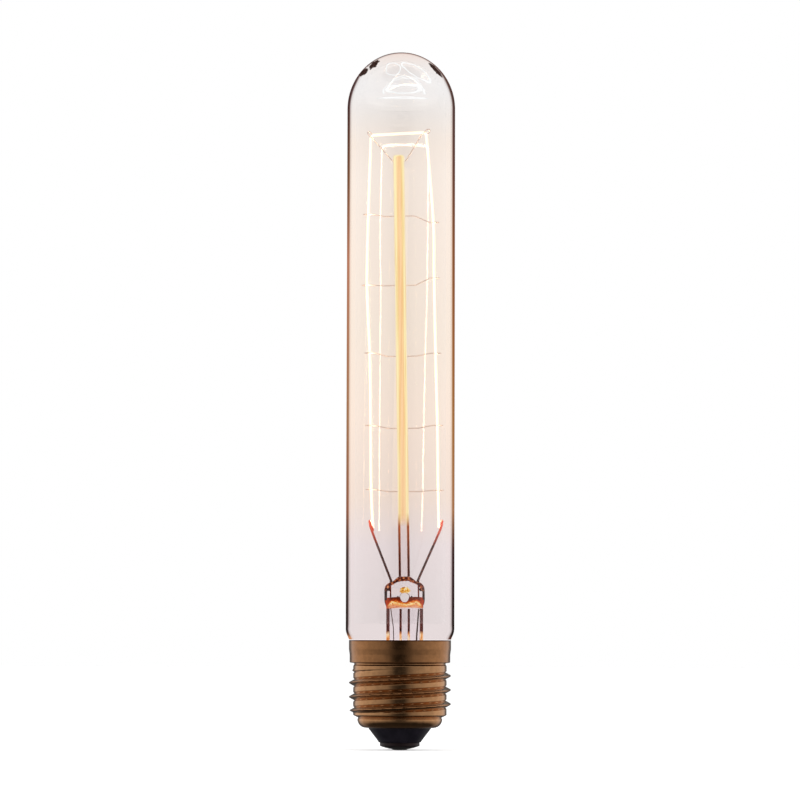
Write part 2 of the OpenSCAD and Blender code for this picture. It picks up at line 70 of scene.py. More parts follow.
GLASS_LOW, GLASS_HIGH = node_box("glass_envelope")
SHELL_HIGH = node_box("screw_shell")[1]
PRESS_LOW = node_box("stem_press")[0]
ROD_HIGH = node_box("arbor_rod")[1]
FLARE_LOW, FLARE_HIGH = node_box("stem_flare")
EXHAUST_LOW, EXHAUST_HIGH = node_box("exhaust_tube")
LAMP_TOP = GLASS_HIGH[2]
GLASS_WALL = 0.9
SEAT_GAP = 0.05
SHARP_EDGE = 40


# Colours

def linear(hex_colour):
    """An sRGB hex colour as linear red, green and blue."""
    srgb = np.array([int(hex_colour[i:i + 2], 16) for i in (1, 3, 5)]) / 255
    low = srgb / 12.92
    high = ((srgb + 0.055) / 1.055) ** 2.4
    return tuple(float(c) for c in np.where(srgb <= 0.04045, low, high))


def colour(value):
    """A hex colour, a grey from 0 to 1 or three linear parts, as a node's socket takes it."""
    if isinstance(value, str):
        value = linear(value)
    elif isinstance(value, (int, float)):
        value = (value,) * 3
    return (*value, 1.0)


# Settings that a user would change

def length(name, description, default):
    """A size whose default is given in millimetres."""
    return FloatProperty(
        name=name, description=description, default=default * MM, min=0.0, unit="LENGTH")


class LampSizes(bpy.types.PropertyGroup):
    """Sizes of the pieces that the frame doesn't give."""
    glass_wall: length("Glass wall", "Thickness of the blown tube", GLASS_WALL)
    shoulder_z: length("Shoulder height", "Height where the tube starts to draw in", 31.3)
    shoulder_r: length("Shoulder radius", "Radius of the rounded shoulder", 4.6)
    coil_wire: length(
        "Filament wire", "Diameter of the wire that the filament is coiled from", 0.13)
    coil_pitch: length("Filament pitch", "Distance between the turns of the filament", 0.26)
    filament_d: length("Filament diameter", "Outer diameter of the coiled filament", 0.75)
    support_d: length("Support wire", "Diameter of the support wires and hooks", 0.22)
    lead_d: length("Lead wire", "Diameter of the inner leads", 0.62)


def tint(name, description, default):
    """A colour whose default is given in hex."""
    return FloatVectorProperty(
        name=name, description=description, subtype="COLOR", default=linear(default))


class LampColours(bpy.types.PropertyGroup):
    """Main colours of the finishes."""
    glass: tint("Glass", "Shade that clear glass gives to lamp light", "#F4EEEA")
    brass: tint("Brass", "Aged brass of the screw shell", "#A6754D")
    glow: tint("Glow", "Colour of the glowing filament", "#FFE9C4")


def size(name):
    """One of the sizes above, in millimetres."""
    return getattr(bpy.context.scene.lamp_sizes, name) / MM


def colours():
    return bpy.context.scene.lamp_colours


# Surfaces

def write_mesh(name, points, faces, smooth=True):
    """Makes an object from points in millimetres and its faces."""
    mesh = bpy.data.meshes.new(name)
    mesh.from_pydata((np.asarray(points) * MM).tolist(), [], faces)
    mesh.validate()
    mesh.polygons.foreach_set("use_smooth", np.full(len(mesh.polygons), smooth))
    mesh.update()
    if smooth:
        mesh.set_sharp_from_angle(angle=math.radians(SHARP_EDGE))
    piece = bpy.data.objects.new(name, mesh)
    bpy.context.scene.collection.objects.link(piece)
    return piece


def unit(vectors):
    """Vectors of length 1 in the same directions."""
    return vectors / np.linalg.norm(vectors, axis=-1, keepdims=True)


def turns(steps):
    """Angles of equal steps round a circle."""
    return np.arange(steps) * 2 * math.pi / steps


def circles(sides, first, second):
    """A circle of radius 1 at each point of a path, spanned by two directions there."""
    a = turns(sides)[None, :, None]
    return np.cos(a) * first[:, None] + np.sin(a) * second[:, None]


def volume(points, faces):
    """Volume inside a closed surface: the signed tetrahedra from the origin to each face."""
    a, b, c = (points[faces[:, k]] for k in range(3))
    total = np.sum(a * np.cross(b, c))
    if faces.shape[1] == 4:
        total += np.sum(a * np.cross(c, points[faces[:, 3]]))
    return total / 6


def skin(name, grid, tips=None):
    """A closed surface over a grid of rings: row after row, each row wrapping round.

    Without tips the last row joins the first. With two tips, the first and last rows close
    on a point each. The faces turn outwards.
    """
    rows, columns = grid.shape[:2]
    points = grid.reshape(-1, 3)
    last = rows if tips is None else rows - 1
    j, i = np.meshgrid(np.arange(last), np.arange(columns), indexing="ij")
    low = j * columns
    high = (j + 1) % rows * columns
    i2 = (i + 1) % columns
    quads = np.stack([low + i, low + i2, high + i2, high + i], -1).reshape(-1, 4)
    groups = [quads]
    if tips is not None:
        i = np.arange(columns)
        i2 = (i + 1) % columns
        n = len(points)
        base = (rows - 1) * columns
        points = np.vstack([points, tips])
        groups.append(np.vstack([
            np.stack([i2, i, np.full(columns, n)], -1),
            np.stack([base + i, base + i2, np.full(columns, n + 1)], -1)]))
    if sum(volume(points, group) for group in groups) < 0:
        groups = [group[:, ::-1] for group in groups]
    return write_mesh(name, points, [face for group in groups for face in group.tolist()])


def arc(cx, cz, radius, start, end, steps):
    """Points of a circle's arc about (cx, cz), from one angle in degrees to another."""
    a = np.radians(np.linspace(start, end, steps + 1))
    return np.stack([cx + radius * np.cos(a), cz + radius * np.sin(a)], -1)


def soften(points, radius, steps=4, closed=False):
    """Rounds each corner of an outline with a short curve, a parabola that touches both sides."""
    p = np.asarray(points, float)
    before = np.roll(p, 1, 0)
    after = np.roll(p, -1, 0)
    to_before = np.linalg.norm(before - p, axis=1, keepdims=True)
    to_after = np.linalg.norm(after - p, axis=1, keepdims=True)
    reach = np.broadcast_to(np.reshape(radius, (-1, 1)), (len(p), 1))
    a = p + (before - p) * np.minimum(reach / np.maximum(to_before, 1e-9), 0.45)
    b = p + (after - p) * np.minimum(reach / np.maximum(to_after, 1e-9), 0.45)
    t = np.linspace(0, 1, steps + 1)[None, :, None]
    curve = (1 - t) ** 2 * a[:, None] + 2 * t * (1 - t) * p[:, None] + t ** 2 * b[:, None]
    if not closed:
        curve[0] = p[0]
        curve[-1] = p[-1]
    flat = curve.reshape(-1, 2)
    keep = np.concatenate([[True], np.linalg.norm(np.diff(flat, axis=0), axis=1) > 1e-5])
    return flat[keep]


def refine(points, step):
    """Adds points along an outline so that none are further apart than step."""
    p = np.asarray(points, float)
    gaps = np.linalg.norm(np.diff(p, axis=0), axis=1)
    counts = np.maximum(1, np.ceil(gaps / step).astype(int))
    index = np.repeat(np.arange(len(counts)), counts)
    first = np.cumsum(counts) - counts
    part = (np.arange(counts.sum()) - first[index]) / counts[index]
    body = p[index] + (p[index + 1] - p[index]) * part[:, None]
    return np.vstack([body, p[-1:]])


def turn_round(name, outline, columns=128, centre=(0, 0), rise=None):
    """A surface of revolution: each outline point (radius, height) is carried round the axis.

    An outline that starts and ends on the axis closes with a point at each pole. Any other
    outline is a closed loop. rise(angle, height) adds to the radius.
    """
    p = np.asarray(outline, float)
    poles = p[0, 0] < 1e-6 and p[-1, 0] < 1e-6
    rings = p[1:-1] if poles else p
    a, r = np.meshgrid(turns(columns), rings[:, 0])
    z = np.broadcast_to(rings[:, 1:2], a.shape)
    if rise is not None:
        r = r + rise(a, z)
    grid = np.stack([centre[0] + r * np.cos(a), centre[1] + r * np.sin(a), z], -1)
    tips = [[*centre, p[0, 1]], [*centre, p[-1, 1]]] if poles else None
    return skin(name, grid, tips)


def smooth_path(points, per_span=6):
    """A cubic curve through the points: each span blends the four points round it."""
    p = np.asarray(points, float)
    padded = np.vstack([2 * p[0] - p[1], p, 2 * p[-1] - p[-2]])
    t = (np.arange(per_span) / per_span)[None, :, None]
    p0, p1, p2, p3 = (padded[k:k + len(p) - 1][:, None] for k in range(4))
    curve = 0.5 * (
        2 * p1 + (p2 - p0) * t + (2 * p0 - 5 * p1 + 4 * p2 - p3) * t ** 2
        + (3 * p1 - p0 - 3 * p2 + p3) * t ** 3)
    return np.vstack([curve.reshape(-1, 3), p[-1:]])


def path_frame(path, reference):
    """Direction of a path at each point, and two directions across it."""
    along = unit(np.gradient(path, axis=0))
    across = unit(np.cross(np.broadcast_to(reference, along.shape), along))
    return along, across, np.cross(along, across)


def tube(name, path, diameter, reference, sides=12, ends=3):
    """A round wire: a circle carried along a path, closed by a rounded end at each tip."""
    along, across, other = path_frame(path, reference)
    r = diameter / 2
    dome = np.radians(np.linspace(0, 90, ends + 1))[1:-1]
    index = np.concatenate([
        np.zeros(ends - 1, int), np.arange(len(path)), np.full(ends - 1, len(path) - 1)])
    # The rounded ends are drawn inside the path's length, so the wire keeps its reach
    radius = np.concatenate([r * np.sin(dome), np.full(len(path), r), r * np.sin(dome[::-1])])
    lift = np.concatenate([
        r - r * np.cos(dome), [r], np.zeros(len(path) - 2), [-r], r * np.cos(dome[::-1]) - r])
    centre = path[index] + along[index] * lift[:, None]
    ring = circles(sides, across[index], other[index])
    grid = centre[:, None] + ring * radius[:, None, None]
    return skin(name, grid, np.vstack([path[:1], path[-1:]]))


def coil(name, path, diameter, wire, pitch, reference, steps=10, sides=4):
    """A coiled wire: a helix about a path, with a small circle carried along the helix.

    The turn angle grows in proportion to the distance along the path.
    """
    gaps = np.linalg.norm(np.diff(path, axis=0), axis=1)
    reach = np.concatenate([[0], np.cumsum(gaps)])
    s = np.linspace(0, reach[-1], int(reach[-1] / pitch * steps) + 1)
    line = np.stack([np.interp(s, reach, path[:, k]) for k in range(3)], -1)
    _, across, other = path_frame(line, reference)
    phase = (2 * math.pi * s / pitch)[:, None]
    out = np.cos(phase) * across + np.sin(phase) * other
    helix = line + out * (diameter - wire) / 2
    side = np.cross(unit(np.gradient(helix, axis=0)), out)
    grid = helix[:, None] + circles(sides, out, side) * wire / 2
    return skin(name, grid, np.vstack([helix[:1], helix[-1:]]))


# Materials

class Node:
    """A shader node to be: its kind, its settings, the output that is read, a colour ramp's
    (position, colour) stops, and the inputs, which may be nodes too.

    Sums, products and comparisons of nodes are Math nodes, and a | b is the greater one.
    """

    def __init__(self, kind, settings=None, out=0, stops=(), **inputs):
        self.kind = kind
        self.settings = settings or {}
        self.out = out
        self.stops = stops
        self.inputs = inputs

    def joined(operation, swapped=False):
        """The Python operator that stands for one operation of the Math node."""
        def apply(self, other=0.0):
            first, second = (other, self) if swapped else (self, other)
            return Node("Math", {"operation": operation}, i0=first, i1=second)
        return apply

    __add__ = joined("ADD")
    __radd__ = joined("ADD", True)
    __sub__ = joined("SUBTRACT")
    __rsub__ = joined("SUBTRACT", True)
    __mul__ = joined("MULTIPLY")
    __lt__ = joined("LESS_THAN")
    __gt__ = joined("GREATER_THAN")
    __or__ = joined("MAXIMUM")
    __abs__ = joined("ABSOLUTE")


def add(tree, plan, made):
    """Adds a planned node to a tree, once, with its settings, stops and inputs by name or
    number, and gives its output."""
    if plan not in made:
        node = made[plan] = tree.nodes.new("ShaderNode" + plan.kind)
        for key, value in plan.settings.items():
            setattr(node, key, value)
        for i, (position, value) in enumerate(plan.stops):
            ramp = node.color_ramp.elements
            stop = ramp[i] if i < len(ramp) else ramp.new(position)
            stop.position = position
            stop.color = colour(value)
        for key, value in plan.inputs.items():
            numbered = key[0] == "i" and key[1:].isdigit()
            socket = node.inputs[int(key[1:]) if numbered else key.replace("_", " ")]
            if isinstance(value, Node):
                tree.links.new(add(tree, value, made), socket)
            else:
                socket.default_value = colour(value) if socket.type == "RGBA" else value
    return made[plan].outputs[plan.out] if made[plan].outputs else None


def fill(owner, output, shader):
    """Empties the node tree of a material or world and adds an output with its shader."""
    owner.use_nodes = True
    owner.node_tree.nodes.clear()
    add(owner.node_tree, Node(output, Surface=shader), {})
    return owner


def finished(name, shader, shade=None):
    """A material with this shader. Clear glass is given the shade in which lamp light passes
    through it, so that what is inside and the floor stay lit."""
    if shade:
        shader = Node(
            "MixShader", i0=Node("LightPath", out="Is Shadow Ray"), i1=shader,
            i2=Node("BsdfTransparent", Color=shade))
    return fill(bpy.data.materials.new(name), "OutputMaterial", shader)


# The point in the piece's own coordinates, in metres
POINT = Node("TexCoord", out="Object")
X, Y, Z = (Node("SeparateXYZ", out=axis, Vector=POINT) for axis in "XYZ")
# 0 where a surface is seen head on and 1 where it is seen edge on
FACING = Node("LayerWeight", out="Facing", Blend=0.5)
# Settings of the Mix node for two colours, and for their product
BLEND = {"data_type": "RGBA"}
PRODUCT = {"data_type": "RGBA", "blend_type": "MULTIPLY"}


def reach(centre, scale=(1, 1, 1)):
    """Distance in millimetres from a point of the piece, with each direction scaled."""
    point = POINT
    for operation, by in (
            ("SUBTRACT", [c * MM for c in centre]), ("MULTIPLY", [c / MM for c in scale])):
        point = Node("VectorMath", {"operation": operation}, i0=point, i1=by)
    return Node("VectorMath", {"operation": "LENGTH"}, out="Value", i0=point)


def oval(centre, size, turn):
    """Distance from a point (x, z) in half sizes of an upright oval, turned by some degrees."""
    turned = Node(
        "Mapping", {"vector_type": "TEXTURE"}, Vector=POINT,
        Location=(centre[0] * MM, 0, centre[1] * MM), Rotation=(0, math.radians(turn), 0),
        Scale=(size[0] * MM, 1.0, size[1] * MM))
    return Node("VectorMath", {"operation": "LENGTH"}, out="Value", i0=turned)


def noise(scale, detail=2.0, stretch=1.0):
    """Noise in the piece's own coordinates; stretch lengthens its blotches along the height."""
    turned = Node("Mapping", Vector=POINT, Scale=(1, 1, 1 / stretch))
    return Node("TexNoise", Vector=turned, Scale=scale, Detail=detail)


def glass_tint_and_painted_glow():
    """Clear glass is faintly pink, with painted warm light along the stretch that the filament
    lights. Gives the share of the lamp's height too."""
    share = Node("MapRange", i0=Z, From_Max=LAMP_TOP * MM)
    return share, Node("ValToRGB", i0=share, stops=[
        (0.20, "#F2ECEC"), (0.29, "#F5EEEE"), (0.36, "#FAF0E9"), (0.47, "#FEF4EC"),
        (0.60, "#FDF5ED"), (0.72, "#FEF6EF"), (0.82, "#FEF7F1"), (0.87, "#FCF5EF"),
        (0.92, "#F8F5F3"), (0.95, "#F8F7F7"), (0.985, "#F8F4F2"), (1.0, "#F8EEE9")])


INNER_TURN = 0.3
STRAIGHT_BELOW = 32.5


def wall(bent, straight, turned):
    """Glass that bends light. Along the drawn-in shoulder, and at the sides where the face is
    turned away by more than the given share, it is thin enough to be looked straight through.

    A bent ray inside the wall always meets its other face turned away by less than 0.3, and a
    straight one by more, so each ray leaves the wall in the way in which it came in.
    """
    clear = Node("BsdfTransparent", Color=straight)
    within = Node("NewGeometry", out="Backfacing")
    front = FACING < turned + within * (INNER_TURN - turned)
    thick = front * Node(
        "MapRange", i0=Z, From_Min=(STRAIGHT_BELOW - 0.02) * MM,
        From_Max=(STRAIGHT_BELOW + 0.02) * MM)
    glass = Node(
        "BsdfPrincipled", Base_Color=bent, Roughness=0.0, Transmission_Weight=1.0, IOR=1.5)
    return Node("MixShader", i0=thick, i1=clear, i2=glass)


def blown_glass_skin():
    """Blown soda-lime glass, outer face: clear, with painted brown shade at the edges of a thick
    wall.

    Where the wall is seen edge on, the light that comes through has gone far through the
    glass, so it is brown. That brown is painted shade, set by height, with painted warm light
    beside the filament, a painted orange glint just over the cap, and other tones left and right.
    """
    share, tint = glass_tint_and_painted_glow()
    # Painted edge shade by height for the left and the right, with a painted glint and warm glow
    left = Node("ValToRGB", i0=share, stops=[
        (0.1605, "#E4BC9E"), (0.1665, "#6B5C58"), (0.28, "#85746F"), (0.34, "#C09A87"),
        (0.47, "#CBAD94"), (0.70, "#D7B09B"), (0.82, "#AF8F79"), (0.93, "#88706F"),
        (1.0, "#A08C88")])
    right = Node("ValToRGB", i0=share, stops=[
        (0.1575, "#A07C72"), (0.164, "#645652"), (0.28, "#7C6565"), (0.34, "#CDAC91"),
        (0.47, "#CAA67F"), (0.60, "#C49A76"), (0.72, "#B98F70"), (0.84, "#9E7C71"),
        (0.93, "#8F7A75"), (1.0, "#A88C84")])
    rightness = Node("MapRange", i0=X, From_Min=-3 * MM, From_Max=3 * MM)
    edge = Node("Mix", BLEND, out=2, i0=rightness, i6=left, i7=right)
    # Painted shade along two folds on the left of the dome's shoulder, and a long thin one on its
    # right
    ragged = noise(1100.0) * 0.7
    painted_fold_shade = reduce(or_, [
        Node("ValToRGB", i0=oval(*fold) + ragged, stops=[(0.85, 1), (1.0, 0)]) for fold in (
            ((-7.1, 176.8), (3.0, 1.5), -46), ((-9.6, 174.9), (2.3, 1.3), -42),
            ((8.8, 175.6), (4.2, 1.1), 47))])
    # Painted bright reflections in fine whorls over the dome: outlines of wavy ovals, the
    # lines 0.08 mm wide with soft sides, some open below the height open_z
    wavy = (noise(350.0) - 0.5) * 0.9

    def painted_reflection_line(centre, size, turn, open_z=None):
        thin, soft = 0.04 / size[1], 0.12 / size[1]
        line = Node("ValToRGB", i0=(oval(centre, size, turn) + wavy) * 0.5, stops=[
            (0.5 - soft, 0), (0.5 - thin, 1), (0.5 + thin, 1), (0.5 + soft, 0)])
        return line * (Z > open_z * MM) if open_z else line

    painted_reflections = reduce(or_, [
        painted_reflection_line((0.95, 169.3), (4.1, 1.1), 0), painted_reflection_line((0.85, 168.9), (4.9, 3.2), 0, 168.2),
        painted_reflection_line((0.75, 167.1), (3.6, 0.2), 0), painted_reflection_line((-2.2, 174.9), (1.8, 1.9), -20),
        painted_reflection_line((4.1, 174.1), (4.1, 1.3), 33), painted_reflection_line((0.95, 171.2), (3.6, 1.6), 0, 171.6)])
    front = Y < 0.0
    # Painted edge shade where the face is turned away, thinner near the shoulder and the top
    thinned = Node("ValToRGB", i0=share, stops=[
        (0.158, 0), (0.170, 0.02), (0.178, 0), (0.955, 0), (0.985, 0.13)])
    rim = Node("ValToRGB", i0=FACING - thinned, stops=[(0.58, 0), (0.66, 0.16), (0.74, 1)])
    # Light comes through a narrow gap between the two left folds
    gap = Node("ValToRGB", i0=oval((-8.8, 176.2), (1.0, 0.28), 40), stops=[(0.6, 0), (1.0, 1)])
    # The painted shade of a fold shows only where it is seen at a slant
    slanted = Node("ValToRGB", i0=FACING, stops=[(0.38, 0), (0.52, 1)])
    shader = wall(tint, tint, 0.46)
    for amount, kind, tone in (
            (rim * gap, "BsdfTransparent", edge),
            (painted_fold_shade * slanted * (front * gap), "BsdfTransparent", "#3E2C28"),
            (painted_reflections * 0.85 * front, "Emission", 1.0)):
        shader = Node("MixShader", i0=amount, i1=shader, i2=Node(kind, Color=tone))
    return finished("blown_glass_skin", shader, colours().glass)


def blown_glass_inside():
    """Inner face of the blown tube: clear, and the mirror in which the filament doubles."""
    _, tint = glass_tint_and_painted_glow()
    return finished("blown_glass_inside", wall(tint, 1.0, 0.56), colours().glass)


def thin_glass(name, tint, edge, start, full, gloss=0.35, lit_end=False):
    """Thin drawn glass: looked straight through, with painted shade at its edges, and a faint
    gloss.

    Its wall darkens with painted shade where its outer face is turned from start to full. A lit
    end has painted orange glints along the same lines, just over the cap.
    """
    rim = Node("ValToRGB", i0=FACING, stops=[(start, 0), (full, 1)])
    clear = Node("BsdfTransparent", Color=Node("Mix", BLEND, out=2, i0=rim, i6=tint, i7=edge))
    shine = Node("BsdfGlossy", Color=1.0, Roughness=0.03)
    shader = Node("MixShader", i0=Node("Fresnel", IOR=1.4) * gloss, i1=clear, i2=shine)
    if lit_end:
        painted_glints = Node("ValToRGB", i0=noise(1300.0, 2.0, 2.0), stops=[
            (0.36, "#D87840"), (0.48, "#FBBC78"), (0.60, "#FFECC8")])
        low = Node("MapRange", i0=Z, From_Min=30.6 * MM, From_Max=29.6 * MM)
        shader = Node("MixShader", i0=rim * low, i1=shader, i2=Node("Emission", Color=painted_glints))
    return finished(name, shader, tint)


def sealed_neck():
    """The neck's glass, where it goes down into the cap: clear."""
    return finished("neck_glass", Node("BsdfTransparent", Color="#FCF8F8"))


def glowing_rod_glass():
    """Drawn glass cane: clear at its foot, and filled with amber light beside the filament."""
    # Painted shade along its sides at the foot, in lines warmed towards the filament by painted
    # light
    up = Node("MapRange", i0=Z, From_Min=47 * MM, From_Max=57 * MM)
    line = Node("Mix", BLEND, out=2, i0=up, i6="#946450", i7="#D8A078")
    lined = Node("ValToRGB", i0=FACING, stops=[(0.15, 0), (0.24, 1), (0.70, 1), (0.85, 0.5)])
    lined = Node("Mix", BLEND, out=2, i0=lined, i6="#FDFAFA", i7=line)
    clear = Node("BsdfTransparent", Color=lined)
    amber = Node("ValToRGB", i0=FACING, stops=[
        (0.0, "#FAD9AD"), (0.05, "#FBDCAC"), (0.11, "#FCE8B4"), (0.20, "#FEF8C4"),
        (0.40, "#FFFACB"), (0.65, "#FBF2D2")])
    # Draw lines run up the cane, about 0.4 mm wide
    streaks = Node(
        "ValToRGB", i0=noise(2200.0, 2.0, 60.0), stops=[(0.35, "#F4E4D0"), (0.55, "#FFFFFF")])
    tone = Node("Mix", PRODUCT, out=2, i0=1.0, i6=amber, i7=streaks)
    glow = Node("Emission", Color=tone, Strength=1.12)
    beside = Node("MapRange", i0=Z, From_Min=57.5 * MM, From_Max=61 * MM)
    lit = Node("ValToRGB", i0=beside, stops=[(0.0, 0), (1.0, 0.92)])
    shader = Node("MixShader", i0=lit, i1=clear, i2=glow)
    return finished("glass_cane", shader, "#F4E6D4")


def stem_place():
    """Distance from the stem's axis and height over the press's foot, in millimetres."""
    return (X - STEM_X * MM) * (1 / MM), (Z - PRESS_Z * MM) * (1 / MM)


def pinched_glass():
    """Pinched lead glass: clear in the middle, and its thick rounded edge full of brown and
    orange light. A patch of amber light is caught over the exhaust hole."""
    x, h = stem_place()
    spots = noise(1700.0)
    # The arched edge ends below at the height 7.05 - 0.1 x^2. Each side is 0.5 mm wide, and
    # 1.2 mm at the upper corner
    ragged = (spots - 0.5) * 0.8
    arch = Node("ValToRGB", i0=h - (7.05 - x * x * 0.1) + ragged, stops=[(0.0, 0), (0.15, 1)])
    beyond = abs(x) - 3.8
    side = Node("ValToRGB", i0=beyond, stops=[(0.70, 0), (0.82, 1)])
    shoulder = (beyond > ragged) * (h + ragged > 4.5)
    # More orange at the corners
    corner = Node("ValToRGB", i0=reach((STEM_X, 0, PRESS_Z + 5.7), (0.23, 0, 0.5)), stops=[
        (0.7, 0), (0.95, 0.04)])
    tone = Node("ValToRGB", i0=spots + corner, stops=[
        (0.41, "#26100A"), (0.51, "#561F14"), (0.58, "#823C28"), (0.64, "#B25E38"),
        (0.72, "#F0A068")])
    # Painted shade: below about 4.4 mm over the foot the edge turns near black
    lower = Node("ValToRGB", i0=h * 0.1, stops=[(0.44, 0.9), (0.54, 0)])
    tone = Node("Mix", BLEND, out=2, i0=lower, i6=tone, i7="#2A1A14")
    carried = Node("Emission", Color=tone)
    clear = Node("BsdfTransparent", Color="#FFFEFF")
    # A dark speck at each side of the exhaust hole
    beside = abs(x) - 1.75
    above = h - 3.0
    speck = beside * beside * 12.0 + above * above * 8.0 < 0.45
    # The hole's rounded edge shows as a thin line, faint along its upper half
    half = Node(
        "ValToRGB", i0=h * 0.1, stops=[((HOLE_H - 0.1) / 10, 1), ((HOLE_H + 0.3) / 10, 0.3)])
    round_hole = reach((STEM_X, 0, PRESS_Z + HOLE_H), (1, 0, 1))
    marked = (arch | side | shoulder | speck) | (round_hole < HOLE_R + 0.18) * half
    slab = Node("MixShader", i0=marked, i1=clear, i2=carried)
    spot = Node(
        "ValToRGB", i0=ragged + reach((STEM_X + 0.05, 0, PRESS_Z + 4.6), (0.76, 0, 1.08)),
        stops=[(0.90, 1), (1.0, 0)])
    caught = Node("ValToRGB", i0=x * 0.08 + noise(2000.0), stops=[
        (0.36, "#B86A18"), (0.46, "#F0A02C"), (0.55, "#FCC848"), (0.64, "#FFF4C8")])
    amber = Node("Emission", Color=caught)
    shader = Node("MixShader", i0=spot, i1=slab, i2=amber)
    return finished("pinched_glass", shader, "#F3E0D0")


def glowing_foot():
    """Wavy glass where slab and tube meet, full of the filament's light: a bright yellow
    line that arches up beside the exhaust hole, red over it and dark along the top."""
    x, h = stem_place()
    # Height of the bright line: 0.95 + 0.14 x^2 - 0.0085 x^4
    x2 = x * x
    line = x2 * (0.14 - x2 * 0.0085) + 0.95
    waves = (noise(2100.0, 3.0) - 0.5) * 1.8
    tone = Node("ValToRGB", i0=(h - line + waves + 0.78) * 0.45, stops=[
        (0.0, "#E8A880"), (0.10, "#F0A868"), (0.20, "#F8B058"), (0.27, "#FFDC80"),
        (0.33, "#FFF8D0"), (0.40, "#FFD868"), (0.48, "#F08428"), (0.57, "#C84C14"),
        (0.68, "#96380C"), (0.80, "#6A2408")])
    # Red flecks, about 0.3 mm across
    flecks = Node("ValToRGB", i0=noise(3400.0), stops=[(0.38, "#D06830"), (0.48, "#FFFFFF")])
    tone = Node("Mix", PRODUCT, out=2, i0=1.0, i6=tone, i7=flecks)
    ends = Node("ValToRGB", i0=x2 * 0.04, stops=[(0.55, 0), (0.80, 0.85)])
    tone = Node("Mix", BLEND, out=2, i0=ends, i6=tone, i7="#B43C14")
    return finished("glowing_foot_glass", Node("Emission", Color=tone, Strength=1.12))


def glowing_tungsten():
    """Coiled tungsten at white heat: just past white when it is looked at, and many times
    brighter for what mirrors it, so that the glass doubles it in fine lines."""
    mirrored = Node("LightPath", out="Glossy Depth") > 0.5
    strength = Node("MapRange", i0=mirrored, To_Min=2.4, To_Max=50.0)
    shader = Node("Emission", Color=colours().glow, Strength=strength)
    material = finished("glowing_tungsten", shader)
    material.cycles.emission_sampling = "NONE"
    return material


def solid(name, scale, detail, stops, relief=None, **inputs):
    """A solid surface whose tone follows a noise. Its relief, if it has one, follows it too
    and is given as strength and height in millimetres."""
    grain = noise(scale, detail)
    if relief:
        inputs["Normal"] = Node(
            "Bump", Height=grain, Strength=relief[0], Distance=relief[1] * MM)
    return finished(name, Node(
        "BsdfPrincipled", Base_Color=Node("ValToRGB", i0=grain, stops=stops), **inputs))


def darker(hex_colour, share):
    return [c * share for c in linear(hex_colour)]


def wire_with_painted_glow(name, cold, painted_glow, from_z, to_z):
    """Drawn wire, dull and oxidised, with a painted glow that rises from the height from_z to
    to_z. Its oxide patches are about 0.7 mm across."""
    oxide = Node("ValToRGB", i0=noise(1400.0), stops=[(0.35, cold), (0.65, darker(cold, 0.7))])
    up = Node("MapRange", i0=Z, From_Min=from_z * MM, From_Max=to_z * MM)
    painted_glow_ramp = Node("ValToRGB", i0=up, stops=[(0.0, 0), (1.0, painted_glow)])
    return finished(name, Node(
        "BsdfPrincipled", Base_Color=oxide, Metallic=0.6, Roughness=0.45, Emission_Color=painted_glow_ramp,
        Emission_Strength=1.0))


def plain_metal(name, tone, roughness, metallic=1.0):
    """Handled metal with faint blotches of tarnish."""
    return solid(
        name, 900.0, 4.0, [(0.38, tone), (0.62, darker(tone, 0.75))], Metallic=metallic,
        Roughness=roughness)


def black_glass():
    """Black insulating glass, fire-polished: deep black with a soft gloss."""
    return solid(
        "black_insulating_glass", 500.0, 3.0, [(0.3, "#100E14"), (0.7, "#1A171E")],
        (0.2, 0.1), Roughness=0.35, IOR=1.5, Specular_IOR_Level=0.12)


def baked_cement():
    """Baked capping cement: matt, pale and grainy, with grains about 0.3 mm."""
    return solid(
        "capping_cement", 3200.0, 4.0, [(0.3, "#C4BAAC"), (0.7, "#DCD4C8")], (0.6, 0.1),
        Roughness=0.9)


def aged_brass():
    """Thin rolled brass with a brown antique finish, painted lighter on the thread's roots and
    greyer on its flanks, as light falls on them.
    """
    flat = Node("CombineXYZ", X=X, Y=Y)
    radius = Node("VectorMath", {"operation": "LENGTH"}, out="Value", i0=flat)
    base = colours().brass
    raised = Node(
        "MapRange", i0=radius, From_Min=(SHELL_HIGH[0] - 1.3) * MM, From_Max=SHELL_HIGH[0] * MM)
    # Painted light by radius: the roots lighter and the flanks greyer than the crests and skirt
    painted_light_by_radius = Node("ValToRGB", i0=raised, stops=[
        (0.0, "#C29064"), (0.25, "#BC8C62"), (0.42, "#B89E84"), (0.70, "#A88E76"),
        (0.82, base), (1.0, base)])
    # Painted shade of the gap between the rolled rim and the glass, as a dark line along its top
    up = Node("MapRange", i0=Z, From_Min=27.8 * MM, From_Max=28.05 * MM)
    rim = Node("ValToRGB", i0=up, stops=[(0.0, 1), (1.0, "#8C6A58")])
    # Mottled antique stain, patches about 1.2 mm, and a fine grain near 0.2 mm
    mottle = noise(800.0, 5.0)
    stain = Node("ValToRGB", i0=mottle, stops=[(0.35, 0.8), (0.65, 1)])
    tone = Node("Mix", PRODUCT, out=2, i0=1.0, i6=painted_light_by_radius, i7=stain)
    tone = Node("Mix", PRODUCT, out=2, i0=1.0, i6=tone, i7=rim)
    polish = Node("ValToRGB", i0=mottle, stops=[(0.3, 0.15), (0.7, 0.24)])
    bump = Node("Bump", Height=noise(5000.0), Strength=0.25, Distance=0.002 * MM)
    return finished("antique_brass", Node(
        "BsdfPrincipled", Base_Color=tone, Metallic=1.0, Roughness=polish, Normal=bump))


def dress(piece, slot, *materials):
    """Gives a piece its materials, and lets it ride on the lamp. The slot is not used."""
    for material in materials:
        piece.data.materials.append(material)
    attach(piece, BODY)
    return piece


def stand_for(piece, slot, node, *materials):
    """The same for a piece that replaces a node of the frame."""
    dress(piece, slot, *materials)
    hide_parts(node)
    return piece


# Envelope

NECK_TOP = 28.35
DOME_H = 14.8
SEAL_R = 10.53


